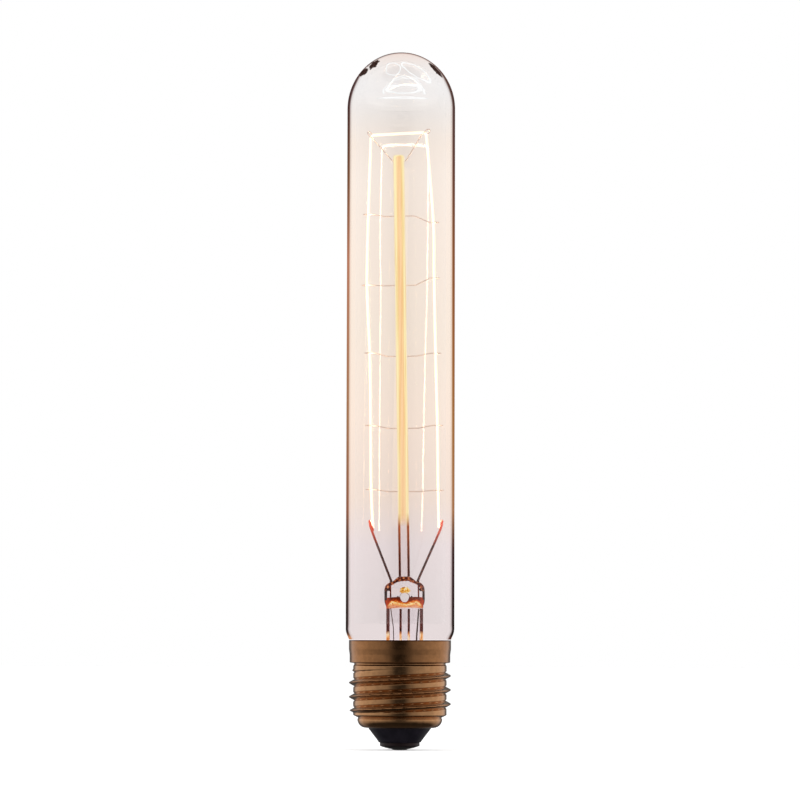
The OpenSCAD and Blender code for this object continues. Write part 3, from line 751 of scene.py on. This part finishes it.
def envelope_outline(wall, shoulder_z, shoulder_r):
    """Outer then inner outline of the blown tube, from the dome down and back up."""
    tube_r = GLASS_HIGH[0]
    dome_z = LAMP_TOP - DOME_H
    rim_z = SHELL_HIGH[2]
    ledge_z = rim_z + 0.08
    turn = 24
    end_r = tube_r - shoulder_r * (1 - math.cos(math.radians(turn)))
    end_z = shoulder_z - shoulder_r * math.sin(math.radians(turn))
    ledge_r = end_r - (end_z - ledge_z) * math.tan(math.radians(turn))
    neck_r = 12.4
    seal_z = GLASS_LOW[2]
    cone_z = 21.7
    centre = tube_r - shoulder_r
    neck = soften([
        [ledge_r + 0.03, ledge_z + 0.1], [ledge_r - 0.3, ledge_z], [neck_r, ledge_z],
        [SEAL_R, cone_z], [SEAL_R, seal_z], [SEAL_R - wall, seal_z],
        [SEAL_R - wall, cone_z + wall / 4], [neck_r - wall, ledge_z]],
        [0.06, 0.1, 0.5, 1.5, 0.2, 0.2, 1.5, 1.0], 5)
    outer = np.vstack([
        arc(0, 0, 1, 90, 0, 48) * [tube_r, DOME_H] + [0, dome_z],
        refine([[tube_r, dome_z], [tube_r, shoulder_z]], 12)[1:-1],
        arc(centre, shoulder_z, shoulder_r, 0, -turn, 12)])
    inner = np.vstack([
        arc(centre, shoulder_z, shoulder_r - wall, -turn, 0, 12),
        refine([[tube_r - wall, shoulder_z], [tube_r - wall, dome_z]], 12)[1:-1],
        arc(0, 0, 1, 0, 90, 48) * [tube_r - wall, DOME_H - wall] + [0, dome_z]])
    return np.vstack([outer, neck, inner])


def read_vectors(items, key):
    """One vector of each of a mesh's faces or vertices."""
    flat = np.empty(len(items) * 3)
    items.foreach_get(key, flat)
    return flat.reshape(-1, 3)


def inner_faces(piece, x=0.0, top=LAMP_TOP):
    """1 for the faces that look towards the upright axis at x, which ends at the height top."""
    out = read_vectors(piece.data.polygons, "center") - [x * MM, 0, 0]
    out[:, 2] = np.maximum(out[:, 2] - top * MM, 0)
    return np.sum(out * read_vectors(piece.data.polygons, "normal"), axis=1) < 0


def set_slots(piece, slots):
    """Gives each face of a piece the number of its material."""
    piece.data.polygons.foreach_set("material_index", np.asarray(slots, np.int32))
    piece.data.update()


class LAMP_OT_envelope(bpy.types.Operator):
    """Blow the glass tube with its dome, shoulder and neck"""
    bl_idname = "lamp.envelope"
    bl_label = "Glass envelope"

    def execute(self, context):
        outline = envelope_outline(size("glass_wall"), size("shoulder_z"), size("shoulder_r"))
        piece = turn_round("blown_envelope", outline, 144)
        stand_for(
            piece, "clear_glass", "glass_envelope", blown_glass_skin(), blown_glass_inside(),
            sealed_neck())
        # Inner faces get the second material, and the neck in the cap gets the third
        inside = inner_faces(piece, top=LAMP_TOP - DOME_H)
        sunk = read_vectors(piece.data.polygons, "center")[:, 2] < NECK_TOP * MM
        set_slots(piece, np.where(sunk, 2, inside))
        return {"FINISHED"}


# Stem

STEM_X = (EXHAUST_LOW[0] + EXHAUST_HIGH[0]) / 2
PRESS_Z = PRESS_LOW[2] + 0.05
ROD_LEAN = 0.9


def lean(points):
    """Turns points of the leaning frame of rod and press, which starts at the press's foot."""
    a = math.radians(ROD_LEAN)
    p = np.asarray(points, float)
    x = STEM_X + p[..., 0] * math.cos(a) - p[..., 2] * math.sin(a)
    z = PRESS_Z + p[..., 0] * math.sin(a) + p[..., 2] * math.cos(a)
    return np.stack([x, p[..., 1], z], -1)


def place_leaning(piece):
    """Applies the lean to a finished mesh that was made upright on the frame's own axis."""
    vertices = piece.data.vertices
    leaning = lean(read_vectors(vertices, "co") / MM) * MM
    vertices.foreach_set("co", leaning.ravel())
    piece.data.update()
    return piece


PRESS_W = 10.4
PRESS_T = 3.4
PRESS_H = 6.8
PRESS_RISE = 1.4
PRESS_CORNER = 2.0
PRESS_FLAT = 1.55
STEM_R = 4.75
HOLE_H = 2.8
HOLE_R = 1.2


def slab_grid():
    """The slab: rings run from the hole's edge out to the outline on the front, and back in
    again behind. Each ring lies part of the way between hole and outline, and the slab's
    half thickness falls off to nothing along a quarter circle near either of them.
    """
    side = PRESS_W / 2
    half = np.vstack([
        [[side - 0.5, 0.4], [side, 1.6]],
        arc(side - PRESS_CORNER, PRESS_H - PRESS_CORNER, PRESS_CORNER, 0, 90, 8),
        [[PRESS_FLAT, PRESS_H + PRESS_RISE]]])
    outline = np.vstack([half, half[::-1] * [-1, 1]])
    outline = soften(outline, 0.5, 4, closed=True)
    outline = refine(np.vstack([outline, outline[:1]]), 0.1)[:-1]
    x, h = outline[:, 0], outline[:, 1] - HOLE_H
    polar = np.arctan2(h, x)
    order = np.argsort(polar)
    a = turns(144) - math.pi
    edge = np.interp(a, polar[order], np.hypot(x, h)[order], period=2 * math.pi)
    share = np.array([
        0, 0.01, 0.03, 0.06, 0.1, 0.15, 0.3, 0.5, 0.65, 0.74, 0.8, 0.85, 0.89, 0.93, 0.96,
        0.98, 0.992, 1.0])
    # The hole's edge is rounded over 0.12 of the way. The outer edge is rounded over 0.28 of
    # it at the sides, and more along the arched top
    hole_edge = np.sqrt(1 - (1 - np.minimum(share / 0.12, 1)) ** 2)
    wide = 0.28 + 0.16 * np.clip(np.sin(a), 0, 1) ** 2
    inwards = np.minimum((1 - share)[:, None] / wide, 1)
    depth = PRESS_T / 2 * hole_edge[:, None] * np.sqrt(1 - (1 - inwards) ** 2)
    share = np.concatenate([share, share[-2:0:-1]])
    y = np.concatenate([-depth, depth[-2:0:-1]])
    r = HOLE_R + (edge - HOLE_R) * share[:, None]
    return np.stack([r * np.cos(a), y, HOLE_H + r * np.sin(a)], -1)


def foot_grid():
    """The foot, a hollow wall: each ring is a superellipse |x/a|^n + |y/b|^n = 1, from the
    tube's circle to the slab's oblong, up the outside and down again 0.5 mm further in. The
    top edge is cut away round the exhaust hole, and the lower edge arches a little.
    """
    rows, thick = 16, 0.5
    t = np.linspace(0, 1, rows)
    t = np.concatenate([t, t[::-1]])[:, None]
    inset = np.repeat([0, thick], rows)[:, None]
    ease_in = t * t * (3 - 2 * t)
    half_w = STEM_R + (PRESS_W / 2 - 0.1 - STEM_R) * ease_in - inset
    half_d = STEM_R + (PRESS_T / 2 - 0.15 - STEM_R) * ease_in - inset
    n = 2 + 2.4 * ease_in
    v = turns(144)[None]
    w = np.cos(v)
    x = half_w * w
    y = half_d * np.sign(np.sin(v)) * (1 - np.abs(w) ** n) ** (1 / n)
    side = np.minimum(np.abs(PRESS_W / 2 * w), HOLE_R)
    crown = 2.95 - 0.25 * w ** 4
    top = np.where(side < HOLE_R, HOLE_H - np.sqrt(HOLE_R ** 2 - side ** 2), crown)
    low = 0.25 * (1 - w * w)
    return np.stack([x, y, low + t * (top - low)], -1)


class LAMP_OT_stem(bpy.types.Operator):
    """Form the stem: flared tube, pinched press and exhaust tube"""
    bl_idname = "lamp.stem"
    bl_label = "Glass stem"

    def execute(self, context):
        # Their edge colours are painted shade, and their lit ends get painted glints
        drawn = thin_glass(
            "drawn_lead_glass", "#FEFDFE", "#9F7872", 0.40, 0.47, gloss=0.06, lit_end=True)
        fine = thin_glass(
            "drawn_exhaust_glass", "#FDFDFD", "#9C7068", 0.15, 0.22, gloss=0.06, lit_end=True)
        self.flare(drawn)
        self.exhaust(fine)
        self.press()
        return {"FINISHED"}

    def flare(self, drawn):
        """A straight tube with a quarter turn outwards, and a bead that seals it to the neck."""
        wall, rim, bead_in, bead_h = 0.8, 0.45, 1.4, 0.9
        top = FLARE_HIGH[2]
        low = FLARE_LOW[2]
        flare_r = SEAL_R - GLASS_WALL - STEM_X - 0.2
        turn = flare_r - STEM_R
        turn_z = low + rim + turn
        outline = np.vstack([
            [[STEM_R - wall, top], [STEM_R, top]],
            arc(flare_r, turn_z, turn, 180, 270, 16),
            arc(flare_r, turn_z, turn + wall, 270, 180, 16)])
        piece = turn_round("stem_flare_tube", outline, 96, (STEM_X, 0))
        bore = thin_glass("stem_bore", "#FEFDFE", "#FEFDFE", 0.0, 1.0, gloss=0.05)
        stand_for(piece, "stem_glass", "stem_flare", drawn, bore)
        set_slots(piece, inner_faces(piece, STEM_X))
        bead = soften([
            [flare_r - bead_in, low], [SEAL_R, low], [SEAL_R, low + bead_h],
            [flare_r - bead_in, low + bead_h]], 0.3, 5, closed=True)
        ring = turn_round("stem_seal_bead", bead, 96)
        dress(ring, "stem_glass", drawn)

    def exhaust(self, drawn):
        """A tube drawn to a rounded tip, with a bore that narrows over it."""
        r = (EXHAUST_HIGH[0] - EXHAUST_LOW[0]) / 2
        tip = EXHAUST_LOW[2]
        top = EXHAUST_HIGH[2]
        bore_r = r - 0.55
        outer = soften([
            [0, tip], [0.35 * r, tip + 0.2], [0.8 * r, tip + 1.4], [r, tip + 2.6], [r, top]],
            0.5, 4)
        inner = soften([[bore_r, top], [bore_r, tip + 3.2], [0, tip + 1.8]], 0.6, 4)
        piece = turn_round("tipped_exhaust_tube", np.vstack([outer, inner]), 48, (STEM_X, 0))
        bore = thin_glass("exhaust_bore", "#FDFDFD", "#FDFDFD", 0.0, 1.0, gloss=0.05)
        stand_for(piece, "stem_glass", "exhaust_tube", drawn, bore)
        set_slots(piece, inner_faces(piece, STEM_X))

    def press(self):
        """The slab with its hole, and the hollow foot that joins it to the tube."""
        slab = skin("pinched_press", lean(slab_grid()))
        stand_for(slab, "press_glass", "stem_press", pinched_glass())
        base = skin("press_foot", lean(foot_grid()))
        dress(base, "press_glass", glowing_foot())


class LAMP_OT_rod(bpy.types.Operator):
    """Draw the glass rod with the button melted at its top"""
    bl_idname = "lamp.rod"
    bl_label = "Glass rod"

    def execute(self, context):
        foot = PRESS_H + PRESS_RISE + ROD_GAP
        top = (ROD_HIGH[2] - PRESS_Z) / math.cos(math.radians(ROD_LEAN))
        outline = np.vstack([
            [[0, top]], arc(ROD_R - ROD_ROUND, top - ROD_ROUND, ROD_ROUND, 90, 0, 10),
            refine([[ROD_R, top - 2], [ROD_R, foot]], 4), [[0, foot]]])
        piece = turn_round("glass_rod", outline, 64)
        stand_for(place_leaning(piece), "rod_glass", "arbor_rod", glowing_rod_glass())
        return {"FINISHED"}


# Filament and wires

LEVELS = 5
SIDES = ((-1, "left"), (1, "right"))
# The two strands, corner to foot: how far each bows off its line, how deep it lies, how far
# its supports rise, and how far its line lies inside the glass
LEFT_BOW = (0.3, -0.3, -0.6, 0.2, 0.5, 0.7, 1.2)
RIGHT_BOW = (-2.6, -0.8, -0.6, -0.2, 0.3, 0.5, 0.7)
LEFT_DEPTH = (4.1, 3.6, 3.0, 2.4, 1.8, 1.4, 1.2)
RIGHT_DEPTH = (0.5, -0.2, -0.9, -1.0, -1.1, -1.2, -1.3)
LEVEL_STRAY = (0.0, -0.2, -0.7, -1.5, 0.0)
LEFT_RISE = (0.8, 0.3, 1.0, 0.8, 0.6)
RIGHT_RISE = (-1.7, 1.8, 0.7, 0.7, 0.3)
LEFT_INSET = 4.8
RIGHT_INSET = 3.9
CORNER_RISE = 0.2
TOP_Z = LAMP_TOP - 21.0
FOOT_Z = 57.2
FIRST_DROP = 21.7
LAST_RISE = 9.3
HOOK_LEAD = 1.1
HOOK_GAP = 0.08
SUPPORT_BEND = 0.45
TOP_SKEW = 0.75
TOP_ROOT = 1.6
HOOK_REACH = 0.8
HOOK_TAIL = 0.4
CORNER_R = 1.0
ROD_R = 1.45
ROD_ROUND = 0.6
ROD_GAP = 0.025
UP = np.array([0.0, 0.0, 1.0])
BACK = np.array([0.0, 1.0, 0.0])


def level_z(i):
    """Height at which the supports of level i leave the rod."""
    step = (TOP_Z - FIRST_DROP - FOOT_Z - LAST_RISE) / (LEVELS - 1)
    return TOP_Z - FIRST_DROP - i * step + LEVEL_STRAY[i]


def strand(side, i):
    """Point i of a strand: 0 is its top corner, 1 to 5 its supports and 6 its foot."""
    inside = GLASS_HIGH[0] - GLASS_WALL
    left = side < 0
    bow = LEFT_BOW if left else RIGHT_BOW
    depth = LEFT_DEPTH if left else RIGHT_DEPTH
    rise = LEFT_RISE if left else RIGHT_RISE
    x = LEFT_INSET - inside if left else inside - RIGHT_INSET
    if i == 0:
        z = TOP_Z + (0 if left else CORNER_RISE)
    elif i == LEVELS + 1:
        z = FOOT_Z
    else:
        z = level_z(i - 1) + rise[i - 1]
    return np.array([x + bow[i], depth[i], z])


def rod_x(z):
    """Where the leaning rod's axis is at a height."""
    return STEM_X - (z - PRESS_Z) * math.tan(math.radians(ROD_LEAN))


def filament_path():
    """Up the left side, round two corners with a quarter turn each, and down the right side."""
    def corner(side):
        """The quarter turn from the side up to the top run."""
        c = strand(side, 0)
        a = np.radians(np.linspace(0, 90, 7))[:, None]
        inwards = np.array([-side, 0.0, 0.0])
        return c + CORNER_R * ((1 - np.sin(a)) * -UP + (1 - np.cos(a)) * inwards)
    left = smooth_path([strand(-1, i) for i in range(LEVELS + 1, 0, -1)] + [corner(-1)[0]], 8)
    right = smooth_path([corner(1)[0]] + [strand(1, i) for i in range(1, LEVELS + 2)], 8)
    return np.vstack([left[:-1], corner(-1), corner(1)[::-1], right[1:]])


def hook(c, out, side, radius):
    """A hairpin round point c: past it on one side, a half turn, and back on the other."""
    a = np.radians(np.linspace(-90, 90, 13))[:, None]
    turn = c + HOOK_REACH * out + radius * (np.cos(a) * out + np.sin(a) * side)
    return np.vstack([
        c - HOOK_LEAD * out - radius * side, c - 0.1 * out - radius * side,
        turn, c - HOOK_TAIL * out + radius * side])


def hook_radius():
    """Half the distance between a hook's two sides, with the filament between them."""
    return (size("filament_d") + size("support_d")) / 2 + HOOK_GAP


class LAMP_OT_filament(bpy.types.Operator):
    """Wind the long hairpin filament"""
    bl_idname = "lamp.filament"
    bl_label = "Filament"

    def execute(self, context):
        piece = coil(
            "coiled_filament", filament_path(), size("filament_d"), size("coil_wire"),
            size("coil_pitch"), BACK)
        stand_for(piece, "filament_glow", "filament", glowing_tungsten())
        return {"FINISHED"}


class LAMP_OT_supports(bpy.types.Operator):
    """Bend the support wires and the two top hooks"""
    bl_idname = "lamp.supports"
    bl_label = "Support wires"

    def execute(self, context):
        # The supports have a painted glow all along them
        drawn = wire_with_painted_glow("drawn_molybdenum", "#B8A49A", "#8E786C", 0, 1)
        diameter = size("support_d")
        for side, word in SIDES:
            for level in range(LEVELS):
                z = level_z(level)
                c = strand(side, level + 1)
                root = np.array([rod_x(z), 0.0, z])
                across = np.array([c[0] - root[0], c[1], 0.0])
                out = unit(across)
                start = root + (ROD_R + SEAT_GAP) * out
                path = np.vstack([
                    refine([start, root + SUPPORT_BEND * across], 0.5),
                    hook(c, out, np.cross(UP, out), hook_radius())])
                name = f"support_{level + 1}_{word}"
                piece = tube(f"{name}_wire", path, diameter, UP, 10)
                stand_for(piece, "support_wire", name, drawn)
            self.top_hook(side, word, diameter, drawn)
        return {"FINISHED"}

    def top_hook(self, side, word, diameter, drawn):
        """Out of the rod, over a low elbow, and up at a slant to a hairpin at the corner."""
        c = strand(side, 0)
        z = ROD_HIGH[2] - TOP_ROOT
        root = np.array([rod_x(z), 0.0, z])
        level = unit(np.array([c[0] - root[0], c[1], 0.0]))
        out = unit(np.array([side, 0.0, 1.0]))
        across = unit(BACK + TOP_SKEW * np.cross(BACK, out))
        start = root + (ROD_R + SEAT_GAP) * level
        elbow = start + np.array([0.5 * side, 0.0, 0.35])
        bend = c + CORNER_R * np.array([-side * 0.3, 0.0, -0.3])
        wide = hook_radius() * math.hypot(1, TOP_SKEW)
        path = np.vstack([start, elbow, hook(bend, out, across, wide)])
        piece = tube(f"top_hook_{word}_wire", path, diameter, BACK + 0.01 * UP, 10)
        stand_for(piece, "support_wire", f"top_hook_{word}", drawn)


class LAMP_OT_leads(bpy.types.Operator):
    """Run the inner leads up to the filament, and finish the seal and outer leads"""
    bl_idname = "lamp.leads"
    bl_label = "Lead wires"

    def execute(self, context):
        # The leads have a painted red glow that rises towards where they clamp the filament
        nickel = wire_with_painted_glow("nickel_with_painted_glow", "#5A2C20", "#E8481C", 52.5, 58.0)
        lead_d = size("lead_d")
        clear = (size("filament_d") + lead_d) / 2 + SEAT_GAP
        # Each lead goes up behind the filament's end, over it, and down in front to its tip
        for side, word, tip_x in ((-1, "left", 0.15), (1, "right", -0.3)):
            end = strand(side, LEVELS + 1)
            low, high = node_box(f"seal_wire_{word}")
            foot = np.array([(low[0] + high[0]) / 2 + side * 0.05, 0.0, high[2] + SEAT_GAP])
            behind = clear * BACK
            top = end + np.array([side * (clear + SEAT_GAP), 0.0, 1.3])
            path = smooth_path([
                foot, foot + 0.5 * UP, end + behind + np.array([side * 0.2, 0.0, -1.0]),
                top + behind, top + 0.45 * UP, top - behind,
                end - behind + np.array([-side * tip_x, 0.0, -0.9])], 8)
            piece = tube(f"inner_lead_{word}_wire", path, lead_d, np.array([1, 0, 0.01]), 12)
            stand_for(piece, "lead_nickel", f"inner_lead_{word}", nickel)
        copper = plain_metal("oxidised_seal_copper", "#A8482E", 0.4)
        bare = plain_metal("heat_stained_copper", "#5A3A30", 0.4)
        for node, metal in (
                ("seal_wire_left", copper), ("seal_wire_right", copper),
                ("outer_lead_left", bare), ("outer_lead_right", bare)):
            paint_node(node, metal)
        return {"FINISHED"}


def paint_node(node, material):
    """Puts a material on a node of the frame that is shown as it is."""
    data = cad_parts[node].data
    data.materials.clear()
    data.materials.append(material)


# Cap

ROOT_R = 12.03
CREST_H = 1.1
PITCH = 3.629
CREST_Z = 11.8
THREAD_LOW = 8.95
THREAD_TOP = 21.3
LAP = 0.45
RUNOUT = 0.9
SHARPNESS = 5
GROOVE = 0.32
SHELL_WALL = 0.3
LIP_X = 8.73
LIP_Z = 7.9


def ease(t):
    """0 to 1 along a smooth step, u u (3 - 2 u)."""
    u = np.clip(t, 0, 1)
    return u * u * (3 - 2 * u)


def thread_rise(angle, z):
    """Height of the thread: a raised cosine to a power, one turn per pitch, faded at both ends.

    A high power of the sine rolls a fine groove at each side of the crest.
    """
    phase = 2 * math.pi * (z - CREST_Z) / PITCH - angle
    wave = CREST_H * ((1 + np.cos(phase)) / 2) ** SHARPNESS - GROOVE * np.sin(phase) ** 16
    return wave * ease((z - THREAD_LOW - LAP) / RUNOUT) * ease((THREAD_TOP - LAP - z) / RUNOUT)


def shell_outline():
    """Outer outline of the brass shell down to its lip, and back up along the inner face."""
    w = SHELL_WALL
    skirt, low, root = 13.15, 12.95, ROOT_R
    groove = root - 0.3
    rim, step, skirt_z = SHELL_HIGH[2], 25.2, 22.4
    outer_top = [
        [skirt, rim], [skirt, step + 0.7], [low, step - 0.8], [low, skirt_z + 0.1],
        [low - 0.25, skirt_z], [groove + 0.1, skirt_z - 0.1], [groove, skirt_z - 0.4],
        [root, skirt_z - 0.85], [root, THREAD_LOW], [10.7, 8.3]]
    inner_top = [
        [10.7 - w, 8.35], [root - w, THREAD_LOW + 0.15], [root - w, skirt_z - 0.8],
        [groove - w, skirt_z - 0.5], [groove - w + 0.1, skirt_z + w - 0.1],
        [low - w - 0.2, skirt_z + w], [low - w, skirt_z + w + 0.2],
        [low - w, step - 0.1], [skirt - w, step + 0.1], [skirt - w, rim]]
    outline = np.vstack([
        outer_top, arc(LIP_X, LIP_Z, 2.2, 0, -90, 8), [[8.2, 5.7], [8.2, 6.0]],
        arc(LIP_X, LIP_Z, 2.2 - w, -90, 0, 8), inner_top])
    rounded = soften(outline, 0.12, 3, closed=True)
    closed = np.vstack([rounded, rounded[:1]])
    return refine(closed, 0.13)[:-1]


class LAMP_OT_cap(bpy.types.Operator):
    """Roll the brass shell with its thread, and set the cement and black glass in it"""
    bl_idname = "lamp.cap"
    bl_label = "Screw cap"

    def execute(self, context):
        shell = turn_round("rolled_screw_shell", shell_outline(), 176, rise=thread_rise)
        stand_for(shell, "aged_brass", "screw_shell", aged_brass())
        paint_node("capping_cement", baked_cement())
        paint_node("side_solder", plain_metal("side_solder_tin", "#9A9792", 0.42))
        self.insulator()
        return {"FINISHED"}

    def insulator(self):
        """A cup that fits the shell's lip, and a cone under it down to the contact."""
        hole = 1.2
        outline = np.vstack([
            [[hole, LIP_Z]], arc(LIP_X, LIP_Z, 1.85, 0, -90, 10),
            [[8.03, 6.05], [8.03, 5.5], [5.7, 2.45], [5.4, 1.95], [hole, 1.95]]])
        rounded = soften(outline, 0.2, 4, closed=True)
        piece = turn_round("moulded_insulator", rounded, 112)
        stand_for(piece, "black_glass", "glass_insulator", black_glass())


class LAMP_OT_contact(bpy.types.Operator):
    """Stamp the centre contact and close it with solder"""
    bl_idname = "lamp.contact"
    bl_label = "Centre contact"

    def execute(self, context):
        edge_r, top, edge_z, cover, hole = 5.12, 1.94, 1.05, 0.1, 1.3
        bowl_h = edge_z - cover
        bowl_r = (edge_r ** 2 + bowl_h ** 2) / (2 * bowl_h)

        def bowl(r):
            """Height of the dished face, part of a ball, at a radius."""
            return cover + bowl_r - np.sqrt(bowl_r ** 2 - r ** 2)

        under_r = np.linspace(edge_r, hole, 14)
        under = np.stack([under_r, bowl(under_r)], -1)
        outline = np.vstack([[[hole, top], [edge_r, top]], under])
        plate = turn_round("stamped_contact", soften(outline, 0.12, 3, closed=True), 96)
        # The plate's near-black tone is painted shade; its faint blotches are tarnish
        stand_for(
            plate, "contact_brass", "contact_plate",
            plain_metal("tarnished_contact_in_painted_shade", "#241819", 0.45, 0.6))
        # The drop is worn flat below, and rises to its edge along a quarter of an ellipse
        drop_r, flat = 2.0, 0.9
        u = np.radians(np.linspace(0, 90, 12))
        rim = bowl(drop_r) - SEAT_GAP
        blob = np.stack([flat + (drop_r - flat) * np.sin(u), rim * (1 - np.cos(u))], -1)
        stem_r = hole - SEAT_GAP
        outline = np.vstack([
            [[0, 0]], blob, [[stem_r, bowl(stem_r) - SEAT_GAP], [stem_r, 1.8], [0, 1.8]]])
        drop = turn_round("contact_solder_drop", outline, 64)
        # The drop's near-black tone is painted shade; its faint blotches are tarnish
        stand_for(
            drop, "solder", "centre_solder", plain_metal("dull_solder_in_painted_shade", "#2C2022", 0.5, 0.7))
        return {"FINISHED"}


# Stage

IMAGE = 800
PX_PER_MM = 3.855
CAMERA_DISTANCE = 970.0
HORIZON_Y = 640.0
BASE_Y = 749.0
SENSOR = 36.0
ROLL = -0.141
# The tilt up at the lamp's middle, and the longer lens that makes up for it
TILT = 3.656
TILT_LENS = 1.004


class LAMP_OT_stage(bpy.types.Operator):
    """Set the white floor, the soft studio light and the camera"""
    bl_idname = "lamp.stage"
    bl_label = "Stage"

    def execute(self, context):
        self.world(context.scene)
        self.floor()
        self.lamps(context.scene)
        self.camera(context.scene)
        context.scene.view_settings.view_transform = "Standard"
        context.scene.cycles.use_denoising = True
        context.scene.cycles.max_bounces = 24
        context.scene.cycles.transmission_bounces = 20
        context.scene.cycles.transparent_max_bounces = 24
        return {"FINISHED"}

    def world(self, scene):
        """White to the camera and through glass, else a pale room, dark before and behind."""
        direction = Node("TexCoord", out="Generated")
        y, z = (Node("SeparateXYZ", out=axis, Vector=direction) for axis in "YZ")
        # The camera's side of a studio is dark: -1 looks at it and 1 looks at the backdrop
        back = Node("MapRange", i0=y, From_Min=-1.0, From_Max=1.0)
        walls = Node("ValToRGB", i0=back, stops=[
            (0.0, 0.04), (0.012, 0.06), (0.03, 0.18), (0.06, 0.33), (0.10, 0.44), (0.20, 0.56),
            (0.32, 0.66), (0.45, 0.76), (0.60, 0.88), (0.75, 1), (0.88, 1), (0.92, 0.4),
            (0.95, 0.2), (1.0, 0.1)])
        # The table in front of the lamp is dark too
        down = Node("MapRange", i0=z, From_Min=-0.62, From_Max=-0.1, To_Min=0.05, To_Max=1.0)
        room = Node("VectorMath", {"operation": "SCALE"}, i0=walls, Scale=down)
        camera, bent, mirrored = (Node("LightPath", out=ray) for ray in (
            "Is Camera Ray", "Is Transmission Ray", "Glossy Depth"))
        seen = camera | bent * (mirrored < 0.5)
        tone = Node("Mix", BLEND, out=2, i0=seen, i6=room, i7=1.0)
        background = Node("Background", Color=tone)
        scene.world = fill(bpy.data.worlds.new("studio"), "OutputWorld", background)

    def floor(self):
        """A wide white sheet just under the contact."""
        half, low = 3000.0, -0.02
        corners = [[-half, -half, low], [half, -half, low], [half, half, low], [-half, half, low]]
        sheet = write_mesh("floor", corners, [[0, 1, 2, 3]], False)
        total = Node(
            "AddShader", i0=Node("BsdfDiffuse", Color=0.9),
            i1=Node("Emission", Color=1.0, Strength=0.35))
        sheet.data.materials.append(finished("white_paper_floor", total))
        sheet.visible_glossy = False

    def lamps(self, scene):
        """Two large soft lamps, one at each side, a little in front and above."""
        for side, word in SIDES:
            name = f"{word}_softbox"
            light = bpy.data.lights.new(name, "AREA")
            light.shape = "RECTANGLE"
            light.size, light.size_y = 0.5, 0.8
            light.energy = 4.0
            lamp = bpy.data.objects.new(name, light)
            lamp.location = (side * 0.7, -0.35, 0.35)
            lamp.rotation_euler = Euler((math.radians(75), 0, math.radians(side * 65)))
            lamp.visible_glossy = False
            lamp.visible_transmission = False
            scene.collection.objects.link(lamp)

    def camera(self, scene):
        """Camera at the height of the photograph's horizon, tilted up at the lamp's middle."""
        camera = bpy.data.cameras.new("camera")
        camera.sensor_width = SENSOR
        camera.lens = SENSOR * CAMERA_DISTANCE * PX_PER_MM / IMAGE * TILT_LENS
        camera.clip_end = 20.0
        viewer = bpy.data.objects.new("camera", camera)
        height_mm = (BASE_Y - HORIZON_Y) / PX_PER_MM
        viewer.location = (0.0, -CAMERA_DISTANCE * MM, height_mm * MM)
        viewer.rotation_euler = Euler((math.radians(90 + TILT), math.radians(ROLL), 0))
        scene.collection.objects.link(viewer)
        scene.camera = viewer


class LAMP_PT_panel(bpy.types.Panel):
    """Lists the steps that dress the lamp"""
    bl_idname = "LAMP_PT_panel"
    bl_label = "Filament lamp"
    bl_space_type = "VIEW_3D"
    bl_region_type = "UI"
    bl_category = "Lamp"

    def draw(self, context):
        layout = self.layout
        for step in STEPS:
            layout.operator(step.bl_idname)
        for group in (context.scene.lamp_sizes, context.scene.lamp_colours):
            box = layout.box()
            for key in group.__annotations__:
                box.prop(group, key)


STEPS = (
    LAMP_OT_stage, LAMP_OT_envelope, LAMP_OT_stem, LAMP_OT_rod, LAMP_OT_filament,
    LAMP_OT_supports, LAMP_OT_leads, LAMP_OT_cap, LAMP_OT_contact,
)
CLASSES = (LampSizes, LampColours, *STEPS, LAMP_PT_panel)


def register():
    for cls in CLASSES:
        bpy.utils.register_class(cls)
    bpy.types.Scene.lamp_sizes = PointerProperty(type=LampSizes)
    bpy.types.Scene.lamp_colours = PointerProperty(type=LampColours)


def unregister():
    del bpy.types.Scene.lamp_colours
    del bpy.types.Scene.lamp_sizes
    for cls in reversed(CLASSES):
        bpy.utils.unregister_class(cls)


def main():
    register()
    for step in STEPS:
        group, name = step.bl_idname.split(".")
        getattr(getattr(bpy.ops, group), name)()


if __name__ == "__main__":
    main()
